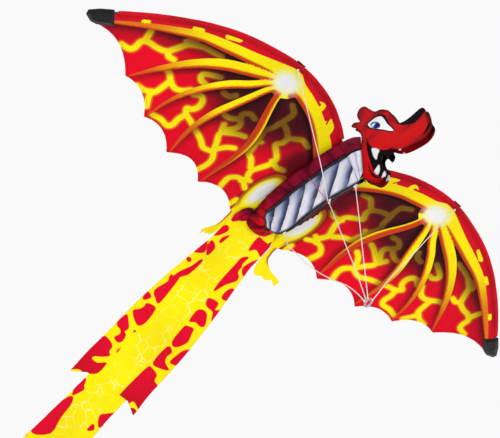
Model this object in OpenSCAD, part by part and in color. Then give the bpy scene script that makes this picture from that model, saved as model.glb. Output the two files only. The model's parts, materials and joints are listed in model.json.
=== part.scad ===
// Single-line dragon kite in its flying attitude: back up, belly and bridle down.
// +X is the dragon's right wing, +Y is forward to the head, +Z is up.
// The origin is the centre of the tow ring, where the flying line is tied.

/* [Airframe] */
// Length of the tow ring's drop below the wing plane
ring_drop = 405; // [360:1:450]
// How far the tow ring sits ahead of the wing's own middle
ring_ahead = 115; // [100:1:130]
// Diameter of the spine rod
spine_d = 4; // [3:0.5:5]
// Diameter of each spreader rod
spreader_d = 4; // [3:0.5:4.5]
// Diameter of each leading-edge rod
edge_rod_d = 3.4; // [2.5:0.1:3.6]
// Rise of the sail's rear middle above the wing plane
rear_rise = 36; // [20:1:45]

/* [Sail] */
// Thickness of every cloth panel with its hems
cloth_t = 0.8; // [0.6:0.1:1.2]
// Outside diameter of the leading-edge sleeve
sleeve_d = 6.8; // [6.4:0.1:7.4]
// Half width of the middle panel, which is where the wings fold
fold_x = 42; // [40:1:44]

/* [Body] */
// Depth of the keel's ridge below the sail at the neck
keel_depth = 84; // [70:1:92]
// Diameter of the piping between the keel's side and belly
piping_d = 2.4; // [1.6:0.2:3]

/* [Head] */
// Gap between the two head panels
head_gap = 9; // [8:0.5:12]
// Thickness of a head panel
head_t = 1.4; // [1:0.1:2]
// Diameter of the upright post that the head swings on
post_d = 3; // [2.5:0.5:3.5]

/* [Tail] */
// Length of the first tail panel
tail_l1 = 402; // [380:1:420]
// How much shorter each following panel is
tail_step = 20; // [0:1:30]
// Half width of the tail where it joins the sail
tail_w = 48.5; // [44:0.5:49.5]

/* [Bridle] */
// Diameter of the bridle line
line_d = 1.6; // [1.2:0.1:2]
// Inside diameter of the tow ring
ring_bore_d = 12; // [10:0.5:14]

/* [Hidden] */
$fn = 40;

// The sail's front and rear edges on its middle line, and the slope between them.
nose_y = 125;
stern_y = -150;
slope = rear_rise / (nose_y - stern_y);
pitch = atan(slope);
spine_up = 5;
clear = 0.3;

// Leading edge from the neck to the wing tip, and the cusps of the trailing edge from
// the tip inward. Each scallop bends through the control point of the same place.
edge_points = [[42, 116], [70, 134], [110, 153], [160, 164], [205, 164], [255, 154],
    [305, 138], [355, 113], [410, 76], [460, 35], [506, -8]];
cusps = [[486, -16], [386, -57], [312, -93], [237, -118], [151, -132], [66, -140], [42, -150]];
bends = [[430, -2], [342, -46], [270, -76], [194, -78], [110, -97], [50, -150]];

// One point of a smooth curve through the points p, at place u from 0 to len(p) - 1.
function at(p, i) = p[max(0, min(len(p) - 1, i))];
function smooth_point(p, u) =
    let (i = min(floor(u), len(p) - 2), t = u - i,
         a = i == 0 ? 2 * p[0] - p[1] : p[i - 1], b = p[i], c = p[i + 1],
         d = i + 2 > len(p) - 1 ? 2 * c - b : p[i + 2])
    0.5 * (2 * b + (c - a) * t + (2 * a - 5 * b + 4 * c - d) * t * t
        + (3 * b - a - 3 * c + d) * t * t * t);
function smooth(p, n) = [for (k = [0 : n]) smooth_point(p, k * (len(p) - 1) / n)];
function closed(p, n) =
    let (m = len(p))
    [for (i = [0 : m - 1], s = [0 : n - 1])
        let (t = s / n, a = p[(i + m - 1) % m], b = p[i], c = p[(i + 1) % m],
             d = p[(i + 2) % m])
        0.5 * (2 * b + (c - a) * t + (2 * a - 5 * b + 4 * c - d) * t * t
            + (3 * b - a - 3 * c + d) * t * t * t)];
function bezier(a, b, c, t) =
    (1 - t) * (1 - t) * a + 2 * t * (1 - t) * b + t * t * c;

edge_curve = smooth(edge_points, 40);
function edge_y(x) = lookup(x, edge_curve);

// The sail is flat outboard and climbs to the spine towards its rear middle.
function ease(t) = let (c = max(0, min(1, t))) c * c * (3 - 2 * c);
function sail_z(x, y) =
    slope * (nose_y - min(y, nose_y)) * (1 - ease((abs(x) - 50) / 200));
function centre_z(y) = slope * (nose_y - y);

trailing = [for (i = [0 : len(bends) - 1], k = [0 : i == len(bends) - 1 ? 2 : 5])
    bezier(cusps[i], bends[i], cusps[i + 1], k / (i == len(bends) - 1 ? 2 : 6))];

// A closed sheet of thickness t over a grid of points, thickened along the direction d.
module sheet(grid, d, t) {
    n = len(grid);
    m = len(grid[0]);
    top = [for (row = grid) for (p = row) p + d * t / 2];
    low = [for (row = grid) for (p = row) p - d * t / 2];
    o = n * m;
    quads = [for (i = [0 : n - 2], j = [0 : m - 2])
        [i * m + j, i * m + j + 1, (i + 1) * m + j + 1, (i + 1) * m + j]];
    upper = [for (q = quads) for (f = [[q[0], q[1], q[2]], [q[0], q[2], q[3]]]) f];
    lower = [for (f = upper) [f[2] + o, f[1] + o, f[0] + o]];
    rim = concat(
        [for (j = [0 : m - 2]) [j, j + 1]],
        [for (i = [0 : n - 2]) [i * m + m - 1, (i + 1) * m + m - 1]],
        [for (j = [m - 1 : -1 : 1]) [(n - 1) * m + j, (n - 1) * m + j - 1]],
        [for (i = [n - 1 : -1 : 1]) [i * m, (i - 1) * m]]);
    walls = [for (e = rim)
        for (f = [[e[1], e[0], e[0] + o], [e[1], e[0] + o, e[1] + o]]) f];
    polyhedron(concat(top, low), concat(upper, lower, walls));
}

// A tube swept along path, with the inner radius ri (0 for a solid rod).
function unit(v) = v / norm(v);
function heading(p, i) = unit(at(p, i + 1) - at(p, i - 1));
function ring_of(p, i, r, n) =
    let (d = heading(p, i), s = unit(cross(d, abs(d[2]) > 0.9 ? [1, 0, 0] : [0, 0, 1])),
         w = cross(s, d))
    [for (k = [0 : n - 1]) p[i] + r * (cos(360 * k / n) * s + sin(360 * k / n) * w)];
module swept(path, r, n = 8) {
    m = len(path);
    points = [for (i = [0 : m - 1]) for (q = ring_of(path, i, r, n)) q];
    sides = [for (i = [0 : m - 2], k = [0 : n - 1])
        [i * n + k, (i + 1) * n + k, (i + 1) * n + (k + 1) % n, i * n + (k + 1) % n]];
    tris = [for (q = sides) for (f = [[q[0], q[1], q[2]], [q[0], q[2], q[3]]]) f];
    polyhedron(points, concat(tris,
        [[for (k = [0 : n - 1]) k]],
        [[for (k = [n - 1 : -1 : 0]) (m - 1) * n + k]]));
}
module hollow_swept(path, r, ri, n = 10) {
    m = len(path);
    o = m * n;
    points = concat([for (i = [0 : m - 1]) for (q = ring_of(path, i, r, n)) q],
        [for (i = [0 : m - 1]) for (q = ring_of(path, i, ri, n)) q]);
    quads = [for (i = [0 : m - 2], k = [0 : n - 1])
        [i * n + k, (i + 1) * n + k, (i + 1) * n + (k + 1) % n, i * n + (k + 1) % n]];
    outer = [for (q = quads) for (f = [[q[0], q[1], q[2]], [q[0], q[2], q[3]]]) f];
    inner = [for (f = outer) [f[2] + o, f[1] + o, f[0] + o]];
    start = [for (k = [0 : n - 1]) for (f = [
        [(k + 1) % n, o + k, k], [(k + 1) % n, o + (k + 1) % n, o + k]]) f];
    e = (m - 1) * n;
    end = [for (k = [0 : n - 1]) for (f = [
        [e + k, o + e + k, e + (k + 1) % n],
        [o + e + k, o + e + (k + 1) % n, e + (k + 1) % n]]) f];
    polyhedron(points, concat(outer, inner, start, end));
}

// A straight true cylinder between two points.
module rod(a, b, r) {
    v = b - a;
    translate(a)
        rotate([0, acos(v[2] / norm(v)), atan2(v[1], v[0])])
            cylinder(h = norm(v), r = r);
}

// Places: the kite's own middle, and the line of the spine and the fold lines.
module kite() translate([0, -ring_ahead, ring_drop]) children();
module on_spine() kite() translate([0, nose_y, 0]) rotate([-pitch, 0, 0])
    translate([0, -nose_y, 0]) children();
module sided(side) scale([side, 1, 1]) children();
module flip(side) {
    if (side > 0) children();
    else mirror([1, 0, 0]) children();
}

// ---- Middle of the airframe ----
spine_front_y = 108;
spine_rear_y = -146;
hub_y = 55;
hub_len = 16;
pin_r = 1.5;

module spine_rod() color("#2b2b2e") on_spine()
    translate([0, spine_rear_y, spine_up]) rotate([-90, 0, 0])
        cylinder(h = spine_front_y - spine_rear_y, d = spine_d);

module spine_cap(y, toward) translate([0, y, spine_up]) rotate([-90 * toward, 0, 0])
    difference() {
        translate([0, 0, -8]) cylinder(h = 10, r = spine_d / 2 + 1.2);
        translate([0, 0, -9]) cylinder(h = 9, d = spine_d);
    }
module spine_cap_front() color("black") on_spine() spine_cap(spine_front_y, 1);
module spine_cap_rear() color("black") on_spine() spine_cap(spine_rear_y, -1);

middle_ys = [for (k = [0 : 12]) stern_y + k * (118 - stern_y) / 12];
module middle_panel() color("crimson") kite()
    sheet([for (x = [-1 : 0.25 : 1]) [for (y = middle_ys)
        [x * (fold_x - clear), y, centre_z(y)]]], [0, 0, 1], cloth_t);

// The hub bar crosses the spine and ends in a fork at each fold line.
fork_gap = 10.6;
module hub_bar() color("#1c1c1e") on_spine() translate([0, hub_y, spine_up]) difference() {
    union() {
        translate([0, 0, 0.4]) cube([2 * fold_x - 8, 9, 7], center = true);
        rotate([90, 0, 0]) cylinder(h = 22, r = 4.5, center = true);
        for (s = [-1, 1]) {
            translate([s * (fold_x - 6), 0, 0.4]) cube([8, hub_len + 4, 7], center = true);
            for (e = [-1, 1]) translate([s * fold_x, e * (fork_gap / 2 + 2.3), 0])
                rotate([90, 0, 0]) cylinder(h = 4.6, r = 3.9, center = true);
            for (e = [-1, 1]) translate([s * (fold_x - 2.5), e * (fork_gap / 2 + 2.3), 0])
                cube([5, 4.6, 7.6], center = true);
        }
    }
    rotate([90, 0, 0]) cylinder(h = 30, d = spine_d, center = true);
    for (s = [-1, 1]) {
        translate([s * fold_x, 0, 0]) rotate([90, 0, 0])
            cylinder(h = 40, r = pin_r, center = true);
        translate([s * fold_x, 0, 0]) cube([9, fork_gap, 12], center = true);
    }
}
module hub_pins() color("silver") on_spine() for (s = [-1, 1])
    translate([s * fold_x, hub_y, spine_up]) rotate([90, 0, 0])
        cylinder(h = fork_gap + 9.2, r = pin_r, center = true);

// ---- Keel: a three-sided body sewn under the middle panel ----
// Each row of keel_stations is y, root half width and height of the ridge.
keel_stations = [[-136, 24, 10], [-64, 36, -50], [-10, 41, -52], [42, 41, -58], [84, 41, -70],
    [112, 40, -80]];
side_share = 0.36;
root_inset = 0.6;
keel_top = 1;
function keel_root(s) = [s[1] - root_inset, s[0], centre_z(s[0]) - cloth_t / 2 - keel_top];
function ridge_z(s) = s[2] * keel_depth / 84;
// The ridge's rear end is drawn forward of the root's.
ridge_forward = 20;
function keel_ridge(s) = [1.2, s[0] + ridge_forward * (1 - ease((s[0] + 136) / 60)), ridge_z(s)];
function keel_at(s, v) = keel_root(s) * (1 - v) + keel_ridge(s) * v;
keel_rows = smooth(keel_stations, 20);
gap_v = 0.012;
belly_v = 0.97;
// The seam between side and belly dips to the ridge behind the belly's rear end.
function seam_v(s) = side_share + 0.48 * (1 - ease((s[0] + 136) / 66));

module keel_side(side) color("#7c0a24") kite() flip(side)
    sheet([for (k = [0 : 3]) [for (s = keel_rows) keel_at(s, (seam_v(s) - 2 * gap_v) * k / 3)]],
        [0.75, 0, -0.66], cloth_t);
module belly(side) color("#e4e2f2") kite() flip(side)
    sheet([for (k = [0 : 4]) [for (s = keel_rows)
        keel_at(s, seam_v(s) + 2 * gap_v + (belly_v - seam_v(s) - 2 * gap_v) * k / 4)]],
        [0.75, 0, -0.66], cloth_t);
module piping(side) color("black") kite() flip(side)
    swept([for (s = keel_rows) keel_at(s, seam_v(s)) + [0.6, 0, -0.55]], piping_d / 2, 8);
module ridge_tape() color("#1a0508") kite()
    sheet([for (x = [-2.2, 0, 2.2]) [for (s = keel_rows)
        [x, keel_ridge(s)[1], ridge_z(s) - 1.7 + abs(x) * 0.3]]], [0, 0, 1], cloth_t);

// The neck closes the keel's front and runs up to the head.
post_y = 126;
neck_front_x = 9;
neck_top_z = 44;
neck_low_z = -86;
module neck(side) color("#700a22") kite() flip(side)
    sheet([for (v = [0 : 0.2 : 1]) [for (u = [0 : 0.25 : 1])
        [40 + (neck_front_x - 40) * u - v * (1 - u) * 36,
         112.6 + u * 4 + v * (1 - u) * 1,
         -3 * (1 - v) * (1 - u) - 81 * v * (1 - u)
            + u * (neck_top_z * (1 - v) + neck_low_z * v)]]], [0.3, 0.95, 0], cloth_t);

module head_post() color("silver") kite() translate([0, post_y, neck_low_z])
    cylinder(h = neck_top_z - neck_low_z, d = post_d);
// The fitting holds the post on the front of the spine.
fitting_z = 4;
module neck_fitting() color("#1c1c1e") kite() difference() {
    union() {
        translate([0, post_y, fitting_z]) cylinder(h = 9, r = 3.1);
        translate([-2.6, 114, fitting_z]) cube([5.2, 10, 9]);
    }
    translate([0, post_y, -10]) cylinder(h = 60, d = post_d);
    translate([0, 114.5, 0]) rotate([-pitch, 0, 0]) translate([0, -6, 0])
        cube([20, 8, 60], center = true);
}

// ---- Bridle tabs, tow ring and lines ----
front_tab_at = [0, 103, -78];
middle_tab_at = [0, 42, -58];
rear_tab_at = [0, -64, -50];
module tab(p) color("white") kite() translate(p + [-0.8, -4, -11]) difference() {
    cube([1.6, 8, 8.4]);
    translate([-1, 4, 3.2]) rotate([0, 90, 0]) cylinder(h = 4, r = 1.7);
}
ring_t = 2.4;
ring_wall = 2.2;
module tow_ring() color("silver") rotate([0, 90, 0]) difference() {
    cylinder(h = ring_t, r = ring_bore_d / 2 + ring_wall, center = true);
    cylinder(h = ring_t + 2, r = ring_bore_d / 2, center = true);
}

// Each line runs from its upper end to the tow ring, in the kite's own places.
ring_at = [0, ring_ahead, -ring_drop];
ring_top = ring_bore_d / 2 + ring_wall;
right_leg_route = [[196, 160, -7], [150, 132, -19], [98, 101, -32], [50, 72, -44], [4, 43, -68]];
left_leg_route = [[-196, 160, -7], [-140, 147, -120], [-84, 134, -234], [-40, 125, -322],
    [-7, 117, -396]];
front_leg_route = [[0, 103, -89], [0, 106, -160], [0, 109, -240], [0, 112, -320], [0, 115, -396]];
middle_leg_route = [[0, 42, -69], [0, 58, -142], [0, 77, -229], [0, 95, -312], [-1, 111, -397]];
rear_leg_route = [[0, -64, -61], [0, -55, -98], [0, -32, -148], [0, -8, -198], [0, 19, -246],
    [0, 48, -290], [0, 76, -330], [0, 96, -368], [1, 109, -398]];
tie_route = [[38, 24, -4], [25, 32, -30], [12, 38, -54], [3, 42, -67]];
module line(route, n, d, c) color(c) kite() swept(smooth(route, n), d / 2, 8);

// ---- Wings ----
sail_x0 = fold_x + clear;
sail_columns = [for (p = trailing) if (p[0] > sail_x0) p];
sail_rows = 6;
function sail_low_y(x) = lookup(x, [for (i = [len(trailing) - 1 : -1 : 0]) trailing[i]]);
sail_xs = concat([for (p = sail_columns) p[0]], [sail_x0]);
module sail(side) color("crimson") kite() flip(side)
    sheet([for (i = [len(sail_xs) - 1 : -1 : 0]) let (x = sail_xs[i],
            low = i == len(sail_xs) - 1 ? stern_y : sail_columns[i][1],
            high = edge_y(x) - sleeve_d / 2 - 0.4)
        [for (k = [0 : sail_rows]) let (y = low + (high - low) * k / sail_rows)
            [x, y, sail_z(x, y)]]], [0, 0, 1], cloth_t);

function edge_path(x0, x1) = [for (p = smooth(edge_points, 44)) if (p[0] >= x0 && p[0] <= x1)
    [p[0], p[1], 0]];
module edge_sleeve(side) color("#d3122a") kite() flip(side)
    hollow_swept(edge_path(44, 458), sleeve_d / 2, edge_rod_d / 2 + 0.25, 10);
module edge_rod(side) color("#2b2b2e") kite() flip(side)
    swept(edge_path(44, 497), edge_rod_d / 2, 10);

// The cap is a black hood sewn over the rod's outer end.
cap_points = [[466, -16.5], [460, 41], [480, 24], [497, 8.5], [510, -6], [509, -14],
    [500, -18.5], [486, -19.4]];
module tip_cap(side) color("black") kite() flip(side) difference() {
    translate([0, 0, -3]) linear_extrude(6) polygon(cap_points);
    translate([0, 0, -2.1]) linear_extrude(4.2)
        polygon([[450, -40], [450, 60], [460, 38.2], [480, 21], [496, 5.5], [501, -8],
            [496, -15.5], [486, -17.2], [464, -14.4]]);
}

connector_at = [196, 165, 0];
spreader_in = [fold_x + 8, 59.5, 13.6];
spreader_out = [191, 153, 5.2];
module connector(side) color("#1c1c1e") kite() flip(side) difference() {
    union() {
        translate(connector_at) rotate([0, 90, -0.5])
            cylinder(h = 16, r = sleeve_d / 2 + 2, center = true);
        rod(spreader_out - unit(spreader_out - spreader_in) * 16,
            spreader_out + unit(spreader_out - spreader_in) * 3, spreader_d / 2 + 1.8);
        translate(connector_at + [-9, -10, 0]) cube([12, 8, 7]);
    }
    translate(connector_at) rotate([0, 90, -0.5])
        cylinder(h = 40, r = sleeve_d / 2 + 0.7, center = true);
    rod(spreader_in, spreader_out, spreader_d / 2);
    // It rides over the sleeve and leaves the underside smooth.
    translate(connector_at + [-20, -30, -12]) cube([40, 60, 12.5]);
}
module spreader(side) color("#2b2b2e") kite() flip(side)
    rod(spreader_in, spreader_out, spreader_d / 2);

// The hub arm turns on its pin and takes the spreader's inner end.
module hub_arm(side) color("#1c1c1e") flip(side) difference() {
    union() {
        on_spine() translate([fold_x, hub_y, spine_up]) rotate([90, 0, 0])
            cylinder(h = fork_gap - 0.8, r = 3.7, center = true);
        on_spine() translate([fold_x + 4.5, hub_y, spine_up]) cube([7, 7, 6], center = true);
        kite() rod(spreader_in - unit(spreader_out - spreader_in) * 4,
            spreader_in + unit(spreader_out - spreader_in) * 22, spreader_d / 2 + 1.8);
    }
    on_spine() translate([fold_x, hub_y, spine_up]) rotate([90, 0, 0])
        cylinder(h = 30, r = pin_r + 0.06, center = true);
    kite() rod(spreader_in, spreader_out, spreader_d / 2);
}

// A foot with three toes, sewn to the trailing edge beside the tail.
foot_points = [[51, -146], [64, -139], [62, -156], [63, -172], [74, -182], [104, -188],
    [106, -206], [94, -198], [87, -207], [76, -202], [67, -214], [57, -207], [51.5, -190]];
foot_droop = 14;
module foot(side) color("gold") kite() flip(side)
    translate([0, -146, sail_z(55, -150) - 2]) rotate([foot_droop, 0, 0])
        translate([0, 146, 0]) linear_extrude(cloth_t) polygon(foot_points);

// A round reinforcement patch lies on top of the sail at the wrist.
module patch(side) color("khaki") kite() flip(side)
    translate([190, 138, cloth_t / 2 + 0.3]) cylinder(h = 0.6, r = 13);

// ---- Head: two flat profiles on a sleeve that turns on the post ----
head_points = [[128, 40], [122, 62], [117, 80], [109, 93], [106, 100], [112, 105], [126, 92],
    [122, 109], [121, 126], [129, 136], [140, 129], [150, 108], [161, 87], [172, 80], [182, 69],
    [192, 53], [198, 35], [204, 11], [208, -6], [221, -17], [240, -19], [258, -18], [266, -27],
    [269, -50], [270, -68], [274, -89], [269, -103], [256, -110], [234, -104], [212, -94],
    [198, -80], [186, -63], [188, -80], [181, -88], [173, -68], [166, -71], [168, -92],
    [175, -112], [173, -127], [164, -136], [152, -132], [140, -113], [130, -98], [124, -82],
    [121, -58], [123, -5]];
head_x = head_gap / 2;
module head_panel(side) color("#cf1220") kite() translate([side * head_x, 0, 0])
    rotate([90, 0, 90]) translate([0, 0, side > 0 ? 0 : -head_t]) linear_extrude(head_t)
        polygon(closed(head_points, 4));
module head_sleeve() color("#a00f18") kite() for (span = [[-70, 0], [16, 40]])
    difference() {
        union() {
            translate([0, post_y, span[0]]) cylinder(h = span[1] - span[0], r = 3.1);
            translate([-head_x, post_y, span[0]])
                cube([head_gap, 3.1, span[1] - span[0]]);
        }
        translate([0, post_y, -100]) cylinder(h = 200, r = post_d / 2 + 0.06);
    }
module snout_spacer() color("#a00f18") kite() translate([-head_x, 244, -66])
    cube([head_gap, 14, 20]);

// ---- Tail: barbed panels, each hinged on the one before ----
tail_drop = [19, 17, 15, 13];
tail_w_end = 78;
barb = 14;
function tail_len(i) = tail_l1 - tail_step * i;
tail_fill = [0.52, 0.3, 0.3];
function tail_in(i) = tail_w * (1 - 0.05 * i);
function tail_out(i) = tail_w_end * (1 - 0.13 * i);
function tail_start(i) = i == 0 ? [stern_y - clear, centre_z(stern_y)]
    : tail_start(i - 1) + tail_len(i - 1) * [-cos(tail_drop[i - 1]), -sin(tail_drop[i - 1])];
// Right half of a panel's outline, from its front edge back to the next one.
function tail_half(i) = let (l = tail_len(i), a = tail_in(i), b = tail_out(i), c = tail_in(i + 1))
    i < 3 ? [[a, 0.4], [a + 0.5, l * 0.14], [a + (b - a) * tail_fill[i], l * 0.4],
        [a + (b - a) * (tail_fill[i] + 0.31), l * 0.66],
        [b, l + barb], [c + 2, l - 4], [c - 3, l - 0.4]]
    : [[a, 0.4], [a * 1.1, l * 0.3], [a * 0.9, l * 0.62], [a * 0.45, l * 0.86], [2, l]];
module tail(i) color("gold") kite() translate([0, tail_start(i)[0], tail_start(i)[1]])
    rotate([tail_drop[i], 0, 0]) translate([0, 0, -cloth_t / 2]) linear_extrude(cloth_t)
        polygon(concat([for (p = tail_half(i)) [p[0], -p[1]]],
            [for (k = [len(tail_half(i)) - 1 : -1 : 0])
                [-tail_half(i)[k][0], -tail_half(i)[k][1]]]));

spine_rod();
spine_cap_front();
spine_cap_rear();
middle_panel();
hub_bar();
hub_pins();
keel_side(1);  // right_keel_side
keel_side(-1);  // left_keel_side
belly(1);  // right_belly
belly(-1);  // left_belly
piping(1);  // right_piping
piping(-1);  // left_piping
ridge_tape();
neck(1);  // right_neck
neck(-1);  // left_neck
head_post();
neck_fitting();
tab(front_tab_at);  // front_tab
tab(middle_tab_at);  // middle_tab
tab(rear_tab_at);  // rear_tab
tow_ring();
line(right_leg_route, 12, line_d, "white");  // right_leg_line
line(left_leg_route, 14, line_d, "white");  // left_leg_line
line(front_leg_route, 10, line_d, "white");  // front_leg_line
line(middle_leg_route, 12, line_d, "white");  // middle_leg_line
line(rear_leg_route, 18, line_d, "white");  // rear_leg_line
line(tie_route, 6, line_d * 0.75, "crimson");  // tie_line
sail(1);  // right_sail
sail(-1);  // left_sail
edge_sleeve(1);  // right_edge_sleeve
edge_sleeve(-1);  // left_edge_sleeve
edge_rod(1);  // right_edge_rod
edge_rod(-1);  // left_edge_rod
tip_cap(1);  // right_tip_cap
tip_cap(-1);  // left_tip_cap
connector(1);  // right_connector
connector(-1);  // left_connector
spreader(1);  // right_spreader
spreader(-1);  // left_spreader
hub_arm(1);  // right_hub_arm
hub_arm(-1);  // left_hub_arm
foot(1);  // right_foot
foot(-1);  // left_foot
patch(1);  // right_patch
patch(-1);  // left_patch
head_panel(1);  // right_head_panel
head_panel(-1);  // left_head_panel
head_sleeve();
snout_spacer();
tail(0);  // tail_1
tail(1);  // tail_2
tail(2);  // tail_3
tail(3);  // tail_4
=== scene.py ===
"""A dragon kite in printed cloth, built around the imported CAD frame, hanging on its tow ring."""

import json

import bpy
import numpy as np
from mathutils import Matrix, Vector, geometry, noise


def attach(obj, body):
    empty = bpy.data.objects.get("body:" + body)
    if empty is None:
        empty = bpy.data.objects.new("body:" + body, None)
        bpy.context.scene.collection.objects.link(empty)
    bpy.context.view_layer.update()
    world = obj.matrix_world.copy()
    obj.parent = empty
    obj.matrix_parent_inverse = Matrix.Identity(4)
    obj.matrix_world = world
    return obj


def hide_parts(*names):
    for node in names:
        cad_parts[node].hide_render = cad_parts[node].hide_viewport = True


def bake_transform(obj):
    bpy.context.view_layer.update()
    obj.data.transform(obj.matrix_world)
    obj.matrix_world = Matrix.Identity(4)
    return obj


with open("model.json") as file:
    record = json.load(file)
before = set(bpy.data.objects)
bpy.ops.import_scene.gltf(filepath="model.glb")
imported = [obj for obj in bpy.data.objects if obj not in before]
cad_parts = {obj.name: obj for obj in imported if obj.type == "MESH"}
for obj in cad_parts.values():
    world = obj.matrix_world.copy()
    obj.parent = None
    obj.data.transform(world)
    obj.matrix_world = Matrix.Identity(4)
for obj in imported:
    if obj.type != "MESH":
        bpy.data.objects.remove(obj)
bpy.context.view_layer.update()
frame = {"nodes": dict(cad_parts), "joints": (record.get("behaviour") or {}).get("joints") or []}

# ---------------------------------------------------------------- places
# Shapes are written in the kite's own millimetres: x to its right, y ahead, z up, from the wing
# plane at the middle of the spine. The head's post stands at y = 126, in the wing plane's middle.
MM = 0.001
POST_Y = 126
post_place = next(j for j in frame["joints"] if j["name"] == "head_turn")["pos_m"]
KITE = np.array(post_place) - np.array([0, POST_Y * MM, 0])

NOSE_Y, STERN_Y = 125, -150
REAR_RISE = 36
SLOPE = REAR_RISE / (NOSE_Y - STERN_Y)
FOLD_X = 42
SIDES = {"right": 1, "left": -1}


def row(points):
    """Kite millimetres to the row frame's metres."""
    return np.asarray(points, float) * MM + KITE


# ---------------------------------------------------------------- small sums
def ease(t, low=0.0, high=1.0):
    t = np.clip((np.asarray(t, float) - low) / (high - low), 0, 1)
    return t * t * (3 - 2 * t)


def mix(a, b, t):
    t = np.asarray(t, float)[..., None]
    return np.asarray(a, float) * (1 - t) + np.asarray(b, float) * t


def linear(rgb):
    """Display colour from 0 to 255 as linear light from 0 to 1."""
    c = np.clip(np.asarray(rgb, float) / 255, 0, 1)
    return np.where(c <= 0.04045, c / 12.92, ((c + 0.055) / 1.055) ** 2.4)


def shade(rgb):
    """The same as a plain tuple, for a shader's socket."""
    return tuple(float(c) for c in linear(rgb))


def unit(v):
    v = np.asarray(v, float)
    return v / np.maximum(np.linalg.norm(v, axis=-1, keepdims=True), 1e-9)


def knots(points, n, ring=False):
    """A smooth curve through the points, in n equal steps of their numbering."""
    p = np.asarray(points, float)
    count = len(p) if ring else len(p) - 1
    u = np.arange(n) * count / n if ring else np.linspace(0, count, n + 1)
    i = np.minimum(u.astype(int), count - 1)
    t = (u - i)[:, None]
    if ring:
        a, b, c, d = (p[(i + k) % len(p)] for k in (-1, 0, 1, 2))
    else:
        padded = np.vstack([2 * p[0] - p[1], p, 2 * p[-1] - p[-2]])
        a, b, c, d = (padded[i + k] for k in range(4))
    return 0.5 * (2 * b + (c - a) * t + (2 * a - 5 * b + 4 * c - d) * t**2
                  + (3 * b - a - 3 * c + d) * t**3)


def spaced(line, step, ring=False):
    """The same line with points a step apart."""
    line = np.asarray(line, float)
    if ring:
        line = np.vstack([line, line[:1]])
    run = np.concatenate([[0], np.cumsum(np.linalg.norm(np.diff(line, axis=0), axis=1))])
    count = max(2, int(round(run[-1] / step)))
    at = np.linspace(0, run[-1], count + 1)
    made = np.column_stack([np.interp(at, run, line[:, k]) for k in range(line.shape[1])])
    return made[:-1] if ring else made


def stroke(points, widths, p, steps=5):
    """A tapered stroke seen from the points p: signed distance to its edge, the share of its
    length, and the share of its half width, which is positive on its right-hand side."""
    widths = np.full(len(points), float(widths)) if np.isscalar(widths) else widths
    n = (len(points) - 1) * steps
    line = knots(np.column_stack([points, widths]), n)
    edge, along, across = np.full(len(p), 1e9), np.zeros(len(p)), np.zeros(len(p))
    for k in range(n):
        a, d = line[k], line[k + 1] - line[k]
        t = np.clip((p - a[:2]) @ d[:2] / max(d[:2] @ d[:2], 1e-9), 0, 1)
        off = p - a[:2] - t[:, None] * d[:2]
        half = np.maximum(a[2] + d[2] * t, 0.1)
        s = np.hypot(off[:, 0], off[:, 1]) - half
        near = s < edge
        side = (off[:, 0] * d[1] - off[:, 1] * d[0]) / max(np.hypot(d[0], d[1]), 1e-9)
        edge, along = np.where(near, s, edge), np.where(near, (k + t) / n, along)
        across = np.where(near, side / half, across)
    return edge, along, across


def inside(outline, p):
    """Which of the points p lie inside an outline."""
    x, y = p[:, 0], p[:, 1]
    hit = np.zeros(len(p), bool)
    for (x0, y0), (x1, y1) in zip(outline, np.roll(outline, -1, axis=0)):
        if y0 != y1:
            hit ^= ((y0 > y) != (y1 > y)) & (x < x0 + (y - y0) / (y1 - y0) * (x1 - x0))
    return hit


def from_line(line, p):
    """Distance from each point of p to a line of points."""
    best = np.full(len(p), 1e9)
    for a, b in zip(line[:-1], line[1:]):
        d = b - a
        t = np.clip((p - a) @ d / max(d @ d, 1e-12), 0, 1)
        off = p - a - t[:, None] * d
        best = np.minimum(best, np.einsum("ij,ij->i", off, off))
    return np.sqrt(best)


def from_shape(outline, p, smooth=5):
    """Signed distance to a closed rounded shape, negative inside it."""
    line = knots(outline, len(outline) * smooth, ring=True) if smooth else np.asarray(outline, float)
    far = from_line(np.vstack([line, line[:1]]), p)
    return np.where(inside(line, p), -far, far)


def rumple(places, size, seed, ridged=False):
    """Even noise from -1 to 1 at each place, or sharp creases from 0 to 1. places are points, or
    their first two coordinates."""
    shift = Vector((seed * 7.3, seed * 3.1, seed * 1.7))
    points = np.column_stack(places) if isinstance(places, tuple) else np.asarray(places, float)
    if points.shape[1] == 2:
        points = np.column_stack([points, np.zeros(len(points))])
    value = np.array([noise.noise(Vector(q) / size + shift) for q in points])
    return (1 - np.clip(np.abs(value) * 4, 0, 1)) ** 2 if ridged else value * 2


# ---------------------------------------------------------------- camera, light and floor
CAMERA_AT = (0.996, 0.838, -1.630)
CAMERA_RIGHT, CAMERA_UP, CAMERA_BACK = (-0.714, 0.699, 0.031), (0.585, 0.572, 0.575), (0.385, 0.429, -0.817)
LENS, SENSOR = 100.8, 36
SKY = 0.95
# Each sun's name, the way it shines, its strength and its spread.
SUNS = [("key", (-0.35, -0.75, 0.75), 0.55, 0.4), ("fill", (-0.9, 0.35, 0.35), 0.2, 1.2),
        ("top", (0.3, -0.2, -1.0), 0.45, 0.9)]
FLOOR_HALF, FLOOR_Z = 20, -2.4
FLOOR_COLOUR = (0.86, 0.86, 0.85)


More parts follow.
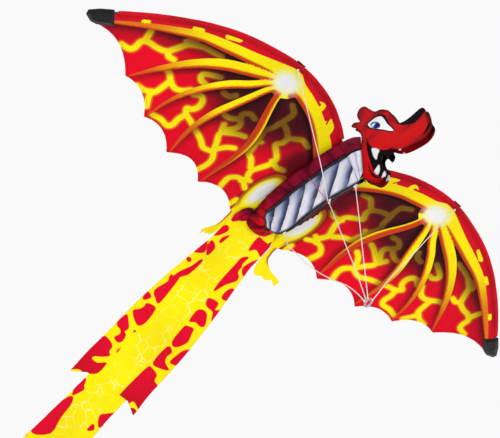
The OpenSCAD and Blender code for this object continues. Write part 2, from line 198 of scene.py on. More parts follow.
def studio():
    scene = bpy.context.scene
    camera = bpy.data.objects.new("camera", bpy.data.cameras.new("camera"))
    axes = [unit(axis) for axis in (CAMERA_RIGHT, CAMERA_UP, CAMERA_BACK)]
    camera.matrix_world = Matrix([(*(axis[k] for axis in axes), CAMERA_AT[k]) for k in range(3)]
                                 + [(0, 0, 0, 1)])
    camera.data.lens, camera.data.sensor_width = LENS, SENSOR
    scene.collection.objects.link(camera)
    scene.camera = camera

    scene.world = bpy.data.worlds.new("studio")
    scene.world.use_nodes = True
    sky = scene.world.node_tree.nodes["Background"].inputs
    sky["Color"].default_value = (1, 1, 1, 1)
    sky["Strength"].default_value = SKY
    scene.view_settings.view_transform = "Standard"

    for name, toward, strength, spread in SUNS:
        lamp = bpy.data.objects.new(name, bpy.data.lights.new(name, "SUN"))
        lamp.data.energy = strength
        lamp.data.angle = spread
        lamp.rotation_euler = Vector(toward).to_track_quat("-Z", "Y").to_euler()
        scene.collection.objects.link(lamp)


def floor():
    """A wide pale floor well below the kite, which can't be seen from underneath."""
    corners = [(-FLOOR_HALF, -FLOOR_HALF), (FLOOR_HALF, -FLOOR_HALF), (FLOOR_HALF, FLOOR_HALF),
               (-FLOOR_HALF, FLOOR_HALF)]
    mesh = bpy.data.meshes.new("floor")
    mesh.from_pydata([(*corner, FLOOR_Z) for corner in corners], [], [(0, 1, 2, 3)])
    obj = bpy.data.objects.new("floor", mesh)
    bpy.context.scene.collection.objects.link(obj)
    look = Look("floor", 0.9)
    look.feed(look.shader.inputs["Base Color"], FLOOR_COLOUR)
    choose = look.node("MixShader", Fac=look.node("NewGeometry").outputs["Backfacing"])
    look.feed(choose.inputs[1], look.shader.outputs["BSDF"])
    look.feed(choose.inputs[2], look.node("BsdfTransparent").outputs["BSDF"])
    look.feed(look.nodes["Material Output"].inputs["Surface"], choose.outputs["Shader"])
    mesh.materials.append(look.material)
    obj.visible_shadow = False


# ---------------------------------------------------------------- materials
# Distances are in metres. A wave texture repeats each WAVE / scale.
WAVE = 0.314
THREAD_PITCH, TAPE_PITCH, RIPSTOP_PITCH = 0.0011, 0.0016, 0.006
WEAVE_RELIEF, GRAIN_RELIEF = 0.0004, 0.0003
SCALE_LINE = (1.0, 0.98, 0.55)


class Look:
    """A material being made: its shader, and short ways to add the nodes that feed it."""

    def __init__(self, name, roughness, specular=0.5, sheen=0.0, metallic=0.0):
        self.material = bpy.data.materials.new(name)
        self.material.use_nodes = True
        self.nodes = self.material.node_tree.nodes
        self.shader = self.nodes["Principled BSDF"]
        for socket, value in (("Roughness", roughness), ("Specular IOR Level", specular),
                              ("Sheen Weight", sheen), ("Metallic", metallic)):
            self.feed(self.shader.inputs[socket], value)

    def feed(self, socket, value):
        """Puts a number, a colour or another node's output into a socket."""
        if isinstance(value, bpy.types.NodeSocket):
            self.material.node_tree.links.new(value, socket)
        elif socket.type == "RGBA":
            socket.default_value = (*value, 1)
        else:
            socket.default_value = value

    def node(self, kind, settings=(), **inputs):
        made = self.nodes.new(f"ShaderNode{kind}")
        for name, value in settings:
            setattr(made, name, value)
        for name, value in inputs.items():
            self.feed(made.inputs[name], value)
        return made

    def place(self):
        return self.node("TexCoord").outputs["Object"]

    def noise(self, scale, detail=2, place=None):
        return self.node("TexNoise", Scale=scale, Detail=detail, Vector=place or self.place()).outputs["Fac"]

    def bands(self, way, **inputs):
        return self.node("TexWave", [("bands_direction", way)], Vector=self.place(), **inputs).outputs["Fac"]

    def maths(self, kind, a, b):
        made = self.node("Math", [("operation", kind)])
        self.feed(made.inputs[0], a)
        self.feed(made.inputs[1], b)
        return made.outputs[0]

    def mixed(self, share, a, b, kind="MIX"):
        made = self.node("Mix", [("data_type", "RGBA"), ("blend_type", kind)])
        for k, value in ((0, share), (6, a), (7, b)):
            self.feed(made.inputs[k], value)
        return made.outputs[2]

    def remap(self, value, low, high, to_low=0.0, to_high=1.0):
        """A smooth step from to_low, where the value is low, to to_high, where it is high."""
        made = self.node("MapRange", [("interpolation_type", "SMOOTHSTEP")], Value=value)
        for name, end in (("From Min", low), ("From Max", high), ("To Min", to_low), ("To Max", to_high)):
            self.feed(made.inputs[name], end)
        return made.outputs["Result"]

    def bump(self, height, strength, relief=GRAIN_RELIEF):
        made = self.node("Bump", Height=height, Strength=strength, Distance=relief)
        self.feed(self.shader.inputs["Normal"], made.outputs["Normal"])

    def weave(self, thread=THREAD_PITCH, check=0.0, depth=0.25):
        """Plain-weave bump, with the thicker threads of ripstop every few millimetres if check is set.
        Gives a value that is a little under or over 1 to vary the cloth's colour by."""
        height = self.maths("MULTIPLY", self.noise(260, 3), 0.5)
        for axis in ("X", "Y"):
            wave = self.bands(axis, Scale=WAVE / thread, Distortion=0.4, Detail=1)
            height = self.maths("ADD", height, wave)
            if check:
                cord = self.remap(self.bands(axis, Scale=WAVE / check), 0.9, 1.0, 0.0, 2.0)
                height = self.maths("ADD", height, cord)
        self.bump(height, depth, WEAVE_RELIEF)
        return self.remap(self.noise(9, 5), 0.25, 0.75, 0.88, 1.08)

    def tinted(self, colour, factor):
        """Sets a colour that the value factor darkens or lightens, and gives the material."""
        grey = self.node("CombineColor", Red=factor, Green=factor, Blue=factor)
        self.feed(self.shader.inputs["Base Color"], self.mixed(1.0, colour, grey.outputs[0], "MULTIPLY"))
        return self.material


def pale_scales(look, colour, per_metre):
    """Thin broken outlines of scales, lighter than the colour below them."""
    warp = look.node("TexNoise", Scale=per_metre, Vector=look.place())
    shift = look.node("VectorMath", [("operation", "MULTIPLY_ADD")])
    for k, value in enumerate((warp.outputs["Color"], (0.022, 0.022, 0.022), look.place())):
        look.feed(shift.inputs[k], value)
    cells = look.node("TexVoronoi", [("feature", "DISTANCE_TO_EDGE")], Scale=per_metre,
                      Vector=shift.outputs["Vector"])
    line = look.remap(cells.outputs["Distance"], 0.036, 0.008)
    fade = look.remap(look.noise(per_metre * 0.6), 0.4, 0.62, 0.05, 0.6)
    return look.mixed(look.maths("MULTIPLY", line, fade), colour, SCALE_LINE)


def printed(name, roughness=0.6, soft=0.7, halo=0.25, specular=0.08, scales=0):
    """Printed cloth. Its mesh carries the colours as ground, ink and mark, and how far each point
    is from the edge of the ink and of the mark, in millimetres, so that the edges stay sharp.
    scales draws pale outlines over the mark, that many to the metre."""
    look = Look(name, roughness, specular)

    def read(layer, output="Color"):
        return look.node("Attribute", [("attribute_name", layer)]).outputs[output]

    ink, mark = read("ink"), read("mark")
    ink_edge, mark_edge = read("ink_edge", "Fac"), read("mark_edge", "Fac")
    glow = look.maths("MULTIPLY", look.remap(ink_edge, 4.5, 0.0), halo)
    colour = look.mixed(glow, read("ground"), ink)
    colour = look.mixed(look.remap(ink_edge, soft, -soft), colour, ink)
    if scales:
        mark = pale_scales(look, mark, scales)
    colour = look.mixed(look.remap(mark_edge, soft * 0.7, -soft * 0.7), colour, mark)
    return look.tinted(colour, look.weave(check=RIPSTOP_PITCH))


def shaded(name, roughness):
    """Cloth whose colour lies in its mesh as ground alone."""
    look = Look(name, roughness, 0.04)
    ground = look.node("Attribute", [("attribute_name", "ground")]).outputs["Color"]
    return look.tinted(ground, look.weave())


def plain(name, rgb, roughness=0.7, sheen=0.0, thread=THREAD_PITCH, wear=None):
    """Cloth of one colour, or two that noise mixes."""
    look = Look(name, roughness, 0.1, sheen)
    colour = shade(rgb)
    if wear:
        colour = look.mixed(look.remap(look.noise(22, 4), 0.4, 0.65), colour, shade(wear))
    return look.tinted(colour, look.weave(thread, depth=0.3))


def hard(name, rgb, roughness, metallic=0.0, grain=400, depth=0.08, stretch=(1, 1, 1)):
    """Plastic, glass fibre or metal with a fine grain."""
    look = Look(name, roughness, metallic=metallic)
    place = look.node("Mapping", Vector=look.place(), Scale=stretch)
    speck = look.noise(grain, 4, place.outputs["Vector"])
    look.bump(speck, depth)
    look.feed(look.shader.inputs["Roughness"], look.remap(speck, 0.3, 0.7, roughness * 0.8, roughness * 1.2))
    return look.tinted(shade(rgb), look.remap(speck, 0.3, 0.7, 0.9, 1.1))


def braid(name, rgb):
    """Braided line: slanted strands as bump and shade."""
    look = Look(name, 0.6, 0.35, 0.2)
    wave = look.bands("DIAGONAL", Scale=180)
    look.bump(wave, 0.4)
    return look.tinted(shade(rgb), look.remap(wave, 0.0, 1.0, 0.86, 1.02))


studio()
floor()

SAIL_PRINT = printed("sail_print")
TAIL_PRINT = printed("tail_print", halo=0.0, scales=38)
HEAD_PRINT = printed("head_print", roughness=0.65, soft=0.5, halo=0.0, specular=0.03)
KEEL_CLOTH = shaded("keel_cloth", 0.55)
BELLY_CLOTH = shaded("belly_cloth", 0.6)
EDGE_CLOTH = plain("edge_cloth", (206, 12, 34), wear=(180, 14, 30))
CAP_CLOTH = plain("cap_cloth", (16, 15, 17), 0.6, 0.35)
PIPING = plain("piping", (22, 12, 20), 0.6, 0.3)
PATCH_CLOTH = plain("patch_cloth", (238, 236, 225), 0.75)
THREAD = plain("thread", (170, 14, 30), 0.7)
TAPE = plain("tab_tape", (236, 236, 232), 0.75, thread=TAPE_PITCH)
LINE = braid("line", (226, 228, 228))
TIE = braid("tie", (214, 60, 92))
ROD = hard("rod", (34, 34, 38), 0.32, grain=300, stretch=(1, 1, 6))
FITTING = hard("fitting", (26, 26, 29), 0.55, grain=500, depth=0.15)
STEEL = hard("steel", (186, 188, 192), 0.3, 1.0, grain=600)


# ---------------------------------------------------------------- mesh builders
# Cloth thickness in millimetres. Inside their turned hems the sails and the tail have a share of
# the hem's thickness.
HEM_THICK, SAIL_SHARE, TAIL_SHARE = 0.9, 0.5, 0.55
KEEL_THICK, FOOT_THICK, PLAIN_THICK, SLEEVE_THICK = 0.6, 0.7, 0.5, 0.3


def piece(name, points, faces, material, body, slot, stands_for=(), layers=None, thick=0.0,
          thick_share=None, bend=None):
    """A mesh from kite millimetres that rides on a body. layers are its painted colours. thick gives it
    thickness, of which thick_share is each point's share. If bend is given, the mesh keeps its place with its
    transform baked in and rides on no body."""
    mesh = bpy.data.meshes.new(name)
    mesh.from_pydata(row(points).tolist(), [], [tuple(int(i) for i in f) for f in faces])
    mesh.update()
    for layer, values in (layers or {}).items():
        values = np.asarray(values, float)
        if values.ndim == 2:
            rgba = np.column_stack([linear(values), np.ones(len(values))])
            mesh.attributes.new(layer, "FLOAT_COLOR", "POINT").data.foreach_set(
                "color", rgba.astype(np.float32).ravel())
        else:
            mesh.attributes.new(layer, "FLOAT", "POINT").data.foreach_set(
                "value", values.astype(np.float32))
    mesh.polygons.foreach_set("use_smooth", [True] * len(mesh.polygons))
    mesh.materials.append(material)
    obj = bpy.data.objects.new(name, mesh)
    bpy.context.scene.collection.objects.link(obj)
    if thick:
        solid = obj.modifiers.new("thickness", "SOLIDIFY")
        solid.thickness = thick * MM
        solid.offset = 0
        if thick_share is not None:
            group = obj.vertex_groups.new(name="hem")
            for share in np.unique(thick_share):
                group.add(np.flatnonzero(thick_share == share).tolist(), float(share), "REPLACE")
            solid.vertex_group = "hem"
    if bend:
        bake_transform(obj)
    else:
        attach(obj, body)
    if stands_for:
        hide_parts(*stands_for)
    return obj


def plate(outline, spacing):
    """Points and triangles that fill an outline evenly."""
    edge = spaced(outline, spacing, ring=True)
    low, high = edge.min(axis=0), edge.max(axis=0)
    ys = np.arange(low[1], high[1], spacing * 0.866)
    xs = np.arange(low[0], high[0], spacing)
    grid = np.array([(x + (j % 2) * spacing / 2, y) for j, y in enumerate(ys) for x in xs])
    grid = grid[inside(edge, grid)]
    grid = grid[from_line(np.vstack([edge, edge[:1]]), grid) > 0.6 * spacing]
    n = len(edge)
    made = geometry.delaunay_2d_cdt([Vector(p) for p in np.vstack([edge, grid])],
                                    [(i, (i + 1) % n) for i in range(n)], [], 1, 1e-4)
    return np.array([tuple(v) for v in made[0]]), made[2]


def grid_of(rows):
    """Faces of a grid of rows of points."""
    rows = np.asarray(rows)
    n, m = rows.shape[:2]
    faces = [(i * m + j, i * m + j + 1, (i + 1) * m + j + 1, (i + 1) * m + j)
             for i in range(n - 1) for j in range(m - 1)]
    return rows.reshape(-1, 3), faces


def sweep(path, section, across=None, hint=(0, 0, 1), caps=True):
    """A skin over a section carried along a path. The section may differ at each point."""
    path = np.asarray(path, float)
    ahead = unit(np.gradient(path, axis=0))
    across = np.cross(ahead, hint) if across is None else np.asarray(across, float)
    across = unit(across - np.einsum("ij,ij->i", across * np.ones_like(ahead), ahead)[:, None] * ahead)
    up = np.cross(across, ahead)
    section = np.asarray(section, float)
    if section.ndim == 2:
        section = np.repeat(section[None], len(path), axis=0)
    rings = (path[:, None] + section[:, :, :1] * across[:, None] + section[:, :, 1:] * up[:, None])
    m, n = len(path), section.shape[1]
    faces = [(i * n + k, i * n + (k + 1) % n, (i + 1) * n + (k + 1) % n, (i + 1) * n + k)
             for i in range(m - 1) for k in range(n)]
    if caps:
        faces += [tuple(range(n))[::-1], tuple((m - 1) * n + k for k in range(n))]
    return rings.reshape(-1, 3), faces


def facing(faces, s):
    """Faces of a shape that is drawn for the right, turned over for the left."""
    return faces if s > 0 else [f[::-1] for f in faces]


def round_section(r, n=12, flat=1.0):
    a = np.arange(n) * 2 * np.pi / n
    return np.column_stack([r * np.cos(a), r * flat * np.sin(a)])


def together(parts):
    """Several meshes as one."""
    points, faces, start = [], [], 0
    for p, f in parts:
        points.append(np.asarray(p, float))
        faces += [tuple(i + start for i in face) for face in f]
        start += len(p)
    return np.vstack(points), faces


STITCH_PITCH, STITCH_LENGTH, THREAD_R = 4.2, 2.6, 0.34
# A stitch's places, in shares of its length from its middle, and how thick its thread is there.
STITCH = [(-0.5, 0.3), (-0.36, 1.0), (0.36, 1.0), (0.5, 0.3)]


def stitches(line):
    """Short threads that lie in a row along a line."""
    places = spaced(line, STITCH_PITCH)
    ahead = unit(np.gradient(places, axis=0))
    rings = np.array([round_section(THREAD_R * wide, 5) for _, wide in STITCH])
    return together([sweep([p + d * STITCH_LENGTH * t for t, _ in STITCH], rings)
                     for p, d in zip(places, ahead)])


def ball(centre, radii):
    """A rounded lump, for a knot."""
    v = np.linspace(0.06, 0.94, 6) * np.pi
    rings = np.array([round_section(np.sin(a), 10) for a in v])
    points, faces = sweep([(0, 0, -np.cos(a)) for a in v], rings, hint=(1, 0, 0))
    return points * np.asarray(radii) + np.asarray(centre), faces


# ---------------------------------------------------------------- cords
RIGHT_LEG = [(196, 160, -7), (150, 132, -19), (98, 101, -32), (50, 72, -44), (4, 43, -68)]
LEFT_LEG = [(-196, 160, -7), (-140, 147, -120), (-84, 134, -234), (-40, 125, -322), (-7, 117, -396)]
FRONT_LEG = [(0, 103, -89), (0, 106, -160), (0, 109, -240), (0, 112, -320), (0, 115, -396)]
MIDDLE_LEG = [(0, 42, -69), (0, 58, -142), (0, 77, -229), (0, 95, -312), (-1, 111, -397)]
REAR_LEG = [(0, -64, -61), (0, -55, -98), (0, -32, -148), (0, -8, -198), (0, 19, -246),
            (0, 48, -290), (0, 76, -330), (0, 96, -368), (1, 109, -398)]
TIE_LINE = [(38, 24, -4), (25, 32, -30), (12, 38, -54), (3, 42, -67)]
LINE_D, TIE_D = 1.6, 1.2
WING_LEGS = {"right": RIGHT_LEG, "left": LEFT_LEG}
# A stretch of x, between these places, that a wing's leg is given as its bend.
LEG_BEND = (40, 192)


def lay_cord(name, route, steps, diameter, material, node):
    """A cord along its route, which is the route of its CAD tube."""
    path = row(knots(route, steps))
    curve = bpy.data.curves.new(name, "CURVE")
    curve.dimensions = "3D"
    curve.bevel_depth = diameter * MM / 2
    curve.bevel_resolution = 3
    curve.use_fill_caps = True
    spline = curve.splines.new("POLY")
    spline.points.add(len(path) - 1)
    for point, place in zip(spline.points, path):
        point.co = (*place, 1)
    curve.materials.append(material)
    obj = bpy.data.objects.new(name, curve)
    bpy.context.scene.collection.objects.link(obj)
    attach(obj, "airframe")
    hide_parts(node)


for side, route in WING_LEGS.items():
    line = knots(route, 40)
    leg = piece(f"{side}_bridle_leg", *sweep(line, round_section(LINE_D / 2, 10)), LINE,
                f"{side}_wing", "line", [f"{side}_leg_line"], bend=LEG_BEND)

lay_cord("front_bridle_leg", FRONT_LEG, 20, LINE_D, LINE, "front_leg_line")
lay_cord("middle_bridle_leg", MIDDLE_LEG, 24, LINE_D, LINE, "middle_leg_line")
lay_cord("rear_bridle_leg", REAR_LEG, 40, LINE_D, LINE, "rear_leg_line")
lay_cord("red_tie", TIE_LINE, 12, TIE_D, TIE, "tie_line")


# ---------------------------------------------------------------- the wing's outline and height
EDGE = [(42, 116), (70, 134), (110, 153), (160, 164), (205, 164), (255, 154), (305, 138),
        (355, 113), (410, 76), (460, 35), (506, -8)]
CUSPS = [(486, -16), (386, -57), (312, -93), (237, -118), (151, -132), (66, -140), (42, -150)]
BENDS = [(430, -2), (342, -46), (270, -76), (194, -78), (110, -97), (50, -150)]
SLEEVE_R = 3.4
edge_curve = knots(EDGE, 80)


def edge_y(x):
    return np.interp(x, edge_curve[:, 0], edge_curve[:, 1])


def centre_z(y):
    return SLOPE * (NOSE_Y - np.minimum(y, NOSE_Y))


def sail_z(x, y):
    return centre_z(y) * (1 - ease((np.abs(x) - 50) / 200))


def trailing():
    made = []
    for a, b, c in zip(CUSPS[:-1], BENDS, CUSPS[1:]):
        t = np.linspace(0, 1, 13)[:-1, None]
        made.append((1 - t)**2 * np.array(a) + 2 * t * (1 - t) * np.array(b) + t**2 * np.array(c))
    return np.vstack(made)


# ---------------------------------------------------------------- the wing's print
RED, CRIMSON, MAROON, BLACK = (226, 3, 34), (214, 10, 38), (70, 7, 20), (20, 4, 8)
YELLOW, OLIVE, RUST, PALE = (252, 232, 8), (122, 84, 16), (200, 62, 20), (238, 240, 240)
WRIST = (188, 124)
# Each bone is its line and its half widths, from the body or the wrist outward.
ARM = ([(36, 62), (60, 84), (85, 101), (110, 115), (140, 126), (170, 133), (190, 136)],
       [16, 16, 14, 13.5, 14, 15, 22])
FINGER = ([(190, 136), (225, 130), (260, 119), (300, 106), (345, 90), (385, 66), (425, 38), (470, 3)],
          [22, 15, 12.5, 12, 9.5, 7.5, 5.5, 3])
RIBS = [
    ([(195, 132), (225, 112), (250, 97), (280, 79), (310, 54), (335, 25), (355, -5), (370, -32), (384, -58)],
     [12, 11, 11, 11, 9, 7, 5, 3, 1]),
    ([(190, 125), (210, 102), (228, 80), (248, 60), (268, 34), (284, 6), (296, -22), (304, -52), (309, -90)],
     [8, 7, 7.5, 7.5, 7, 6, 4.5, 3, 1]),
    ([(188, 122), (200, 92), (210, 62), (221, 30), (231, -2), (237, -35), (238, -70), (233, -115)],
     [7, 6, 7, 7.5, 7, 5.5, 4, 1]),
    ([(184, 118), (178, 88), (169, 62), (158, 35), (148, 5), (142, -25), (142, -60), (145, -92), (148, -128)],
     [6, 6, 6.5, 7, 7, 6, 5, 3.5, 1])]
SPIKES = [
    ([(299, 129), (317, 119)], [4.2, 4.2]), ([(354, 99), (366, 92)], [3.4, 3.4]),
    ([(427, 48), (433, 42)], [3.4, 3.4]), ([(72, 100), (76, 118), (87, 131)], [9, 7, 1]),
    ([(90, 108), (88, 122)], [5, 1]), ([(113, 124), (114, 140), (124, 141)], [5, 4, 1])]
VEINS = [
    [(70, 60), (85, 63), (98, 53), (106, 46)],
    [(104, 45), (105, 33), (110, 22), (97, 10), (87, 0), (86, -17), (92, -35), (98, -52), (92, -68),
     (88, -72)],
    [(105, 47), (120, 58), (136, 64)],
    [(149, 102), (136, 91), (135, 77), (137, 64), (140, 45), (145, 31), (140, 12), (134, -8), (130, -24),
     (117, -32), (104, -47)],
    [(132, 8), (142, 4)],
    [(78, -88), (92, -79), (106, -79), (116, -90), (115, -105), (112, -120)],
    [(84, -70), (92, -72), (95, -80)],
    [(62, -8), (73, -13), (88, -9)], [(70, -118), (73, -140)],
    [(174, 36), (187, 38), (196, 29), (191, 19), (183, 9), (184, -2), (193, -14), (195, -30), (186, -46),
     (178, -62), (167, -77), (165, -93), (170, -112)],
    [(191, 19), (205, 9), (217, 7)], [(160, -3), (172, -8), (190, -20)], [(204, -8), (197, -22)],
    [(155, -34), (167, -43), (178, -60)],
    [(178, -66), (196, -69), (210, -60), (222, -54), (236, -49)],
    [(230, 48), (237, 38), (248, 37)],
    [(282, -2), (271, 5), (262, 0), (259, -12), (263, -24), (271, -30), (263, -39), (250, -43), (242, -46)],
    [(264, -40), (267, -55), (266, -70), (272, -79), (287, -77), (303, -80)],
    [(272, 54), (287, 46), (297, 38), (292, 28), (281, 27)],
    [(290, 2), (300, -10), (312, -15), (325, -10), (338, 0), (345, 2)],
    [(327, -13), (328, -28), (330, -42), (334, -52), (328, -65), (322, -75)],
    [(334, -46), (345, -54), (360, -56)],
    [(298, 84), (318, 80), (332, 76), (345, 67), (353, 60), (362, 40), (369, 27), (385, 20), (400, 18),
     (410, 10), (410, -5), (415, -14), (430, -17)],
    [(350, 24), (360, 22), (366, 29)], [(412, 37), (409, 25), (407, 14)], [(340, 73), (352, 75), (358, 64)]]
VEIN_R, WRIST_R = 4.9, 30
THIN_BONE = 5  # the place among the bones of the last rib, which is lit from its other side
HIP, HIP_R = (49, -76), (25, 62)
SHIN = ([(50, -126), (52, -140), (54, -156)], [13, 9, 6])


def nearest_of(strokes):
    """The nearest of several strokes at each point: its edge, along, across and number."""
    edges = np.array([s[0] for s in strokes])
    k = edges.argmin(axis=0)
    pick = np.arange(edges.shape[1])
    return edges[k, pick], *(np.array([s[i] for s in strokes])[k, pick] for i in (1, 2)), k


def with_hip(p, ground, mark, mark_edge):
    """The print with the pale hip added, and the leg that runs back from it."""
    hip = (np.hypot((p[:, 0] - HIP[0]) / HIP_R[0], (p[:, 1] - HIP[1]) / HIP_R[1]) - 1) * HIP_R[0]
    leg = np.minimum(hip, stroke(*SHIN, p)[0])
    tone = mix(PALE, YELLOW, ease(np.hypot((p[:, 0] - 52) / 15, (p[:, 1] + 72) / 44), 0.55, 1.15))
    tone = mix(tone, (150, 74, 14), 0.9 * ease(leg, -6.5, -2) * ease(p[:, 1], -150, -100))
    mark = np.where((leg < mark_edge)[:, None], tone, mark)
    ground = mix(ground, (120, 20, 20), 0.7 * (1 - ease(leg, 0, 7)) * (leg > 0))
    return ground, mark, np.minimum(mark_edge, leg)


def paint_wing(x, y):
    """The print at points of the sail, in the wing's own places."""
    p = np.column_stack([np.abs(x), y])
    far = np.hypot(*(p - WRIST).T)
    lead = [stroke(*ARM, p), stroke(*FINGER, p)]
    ribs = [stroke(*rib, p) for rib in RIBS]
    lead_edge, _, lead_across, _ = nearest_of(lead)
    below = lead_across > 0

    dark = 1 - ease(far, 88, 166)
    dark = np.maximum(dark, 0.8 * (1 - ease(np.hypot(p[:, 0] - 48, (p[:, 1] - 22) * 0.7), 16, 50)))
    dark = np.maximum(dark, 0.75 * (1 - ease(lead_edge, 4, 42)) * (1 - 0.6 * ease(p[:, 0], 330, 430)))
    dark = dark * (p[:, 0] > 20)
    ground = mix(RED, MAROON, dark)
    shadow = np.zeros(len(p))
    for edge, along, across in ribs:
        shadow = np.maximum(shadow, (across > 0) * (1 - ease(edge, -1, 16)) * (1 - along)**0.55)
        shadow = np.maximum(shadow, (across <= 0) * 0.35 * (1 - ease(edge, -1, 5)) * (1 - along))
    shadow = np.maximum(shadow, below * (1 - ease(lead_edge, -1, 15)) * (1 - 0.5 * ease(p[:, 0], 300, 440)))
    ground = mix(ground, BLACK, 0.92 * shadow)
    band = ~below & (lead_edge > -2) & (p[:, 0] > 40)
    ground = np.where(band[:, None], mix(CRIMSON, (186, 14, 30), ease(lead_edge, 6, 26)), ground)

    ink_edge = np.min([stroke(v, VEIN_R, p, 4)[0] for v in VEINS], axis=0)
    ink_edge = np.where(band, 20, ink_edge)
    ink = mix(YELLOW, OLIVE, np.clip(np.maximum(dark * 1.1, shadow), 0, 1))
    ink = mix(ink, MAROON, 0.55 * shadow)

    bones = lead + ribs
    mark_edge, along, across, k = nearest_of(bones)
    orange = ease(across, 0.25, 0.6)
    orange = np.where(k == THIN_BONE, ease(across, 0.75, 0.35), orange)
    tip = ease(along, 0.45, 0.9) * (k > 1) + ease(p[:, 0], 330, 430) * 0.8 * (k == 1)
    mark = mix(YELLOW, RUST, np.maximum(orange, 0.85 * tip))
    mark = mix(mark, (120, 40, 14), 0.6 * ease(across, 0.85, 1.05) * (k != THIN_BONE))
    spikes = np.min([stroke(*s, p, 3)[0] for s in SPIKES], axis=0)
    mark = np.where(((spikes < mark_edge) & (spikes < 3))[:, None], YELLOW, mark)
    mark_edge = np.minimum(mark_edge, spikes)
    mark = mix(mark, YELLOW, (1 - ease(far, 26, 34)) * (1 - orange * ease(far, 18, 24)))
    mark_edge = np.minimum(mark_edge, far - WRIST_R)
    glow = np.hypot((p[:, 0] - 188) / 24, (p[:, 1] - 126) / 22)
    mark = mix(mark, PALE, 1 - ease(glow, 0.45, 1.6))

    ground, mark, mark_edge = with_hip(p, ground, mark, mark_edge)
    return {"ground": ground, "ink": ink, "mark": mark, "ink_edge": ink_edge, "mark_edge": mark_edge}


# ---------------------------------------------------------------- wings
TIP = (486, 6)  # where the sail ends at the wing's tip
HEM_WIDTH, HEM_STITCH_IN = 4.6, 4.0
# Distances from the middle that the sail is given as its bend.
SAIL_BEND = (FOLD_X + 0.3, FOLD_X + 12)
SLEEVE_FROM, SLEEVE_TO, SEAM_WIDTH = 43, 474, 5
PATCH_AT, PATCH_R, PATCH_LIFT = (190, 138), 13, 0.75
WING_SEED = {"right": 2, "left": 9}
# The tip hood's outline, then the foot's, and the side of the leg that is shaded.
CAP = [(462, 2), (471, 13.5), (479.5, 24), (497, 9.5), (510, -6), (508, -14), (495, -18.5), (484, -16)]
FOOT = [(49.2, -146), (60, -139), (58.5, -156), (61, -170), (66, -176.5), (73, -181), (88, -185.5),
        (108, -188.5), (106, -202), (94, -196), (84, -204), (73, -202), (64, -209.5), (55, -204),
        (51, -190), (49.4, -170)]
OUTER_LEG = np.array([(66, -128), (60, -139), (58.5, -156), (61, -170), (66, -176.5), (73, -181)])
# How steeply the feet trail from their top, and how far the toes hang over beyond a line.
FOOT_DROOP, FOOT_TOP, TOE_LINE = np.radians(18), -146, 57
TOE_HANG = {"right": np.radians(50), "left": np.radians(5)}


def sail_outline():
    inner = FOLD_X - 1.2
    x = np.linspace(inner, TIP[0] - 2, 120)
    rear = trailing()
    return np.vstack([np.column_stack([x, edge_y(x) - SLEEVE_R + 1.8]), TIP,
                      rear[rear[:, 0] > FOLD_X + 0.3], (inner, STERN_Y)])


def wing_relief(x, y, seed):
    """How the cloth stands off its plain surface: a shallow belly, ripples and creases."""
    off = np.column_stack([x, y]) - WRIST
    free = ease(edge_y(x) - y, 0, 70) * ease(x, FOLD_X, 110)
    belly = 3.6 * free * ease(y, -150, -60)
    wave = rumple((x, y * 0.6), 58, seed)
    crease = rumple((x + 0.4 * y, y * 0.25), 34, seed + 3, ridged=True)
    ray = np.arctan2(off[:, 1], off[:, 0])
    pull = np.sin(ray * 23) * np.exp(-((np.hypot(*off.T) - 70) / 45)**2)
    return belly + free * (1.5 * wave + 0.9 * crease + 0.5 * pull)


def on_wing(side, flat, above=0.0):
    """Places in the kite for places on a wing's flat sail, or a little above it."""
    x, y = flat.T
    return np.column_stack([SIDES[side] * x, y, sail_z(x, y) + wing_relief(x, y, WING_SEED[side]) + above])


def sail(side, s):
    """The printed sail, hemmed along its rear with stitches on both faces."""
    body = f"{side}_wing"
    outline, rear = sail_outline(), trailing()
    flat, faces = plate(outline, 2.6)
    share = np.where(from_line(np.vstack([TIP, rear]), flat) < HEM_WIDTH, 1.0, SAIL_SHARE)
    cloth = piece(f"{side}_sail_cloth", on_wing(side, flat), facing(faces, s), SAIL_PRINT, body,
                  "sail_print", [f"{side}_sail"], paint_wing(*flat.T), HEM_THICK, share, SAIL_BEND)

    line = rear[(rear[:, 0] > 70) & (rear[:, 0] < 480)]
    ahead = unit(np.gradient(line, axis=0))
    inner = line + HEM_STITCH_IN * np.column_stack([ahead[:, 1], -ahead[:, 0]])
    inner = inner[inside(outline, inner)]
    rows = [stitches(on_wing(side, inner, face * 0.55)) for face in (-1, 1)]
    hem = piece(f"{side}_hem_stitches", *together(rows), THREAD, body, "edge_cloth")


def sleeve(side, s):
    """The sleeve round the leading rod, with the sewn seam that closes it along its rear."""
    body = f"{side}_wing"
    path = np.column_stack([edge_curve, np.zeros(len(edge_curve))])
    path = spaced(path[(path[:, 0] >= SLEEVE_FROM) & (path[:, 0] <= SLEEVE_TO)], 3.0)
    rings = np.array([round_section(SLEEVE_R * k, 14, 0.94) for k in 1 + 0.05 * rumple(path, 14, 5)])
    tube = path * (s, 1, 1)
    back = np.cross(unit(np.gradient(tube, axis=0)), (0, 0, 1)) * s
    seams = [grid_of([tube + back * (SLEEVE_R + reach) + (0, 0, h) for reach in (-0.8, SEAM_WIDTH)])
             for h in (-0.7, 0.7)]
    cloth = piece(f"{side}_edge_sleeve_cloth", *together([sweep(tube, rings, caps=False), *seams]),
                  EDGE_CLOTH, body, "edge_cloth", [f"{side}_edge_sleeve"], thick=SLEEVE_THICK)
    rows = [stitches(tube + back * (SLEEVE_R + 2.6) + (0, 0, face * 0.9)) for face in (-1, 1)]
    seam_row = piece(f"{side}_sleeve_stitches", *together(rows), THREAD, body, "edge_cloth")


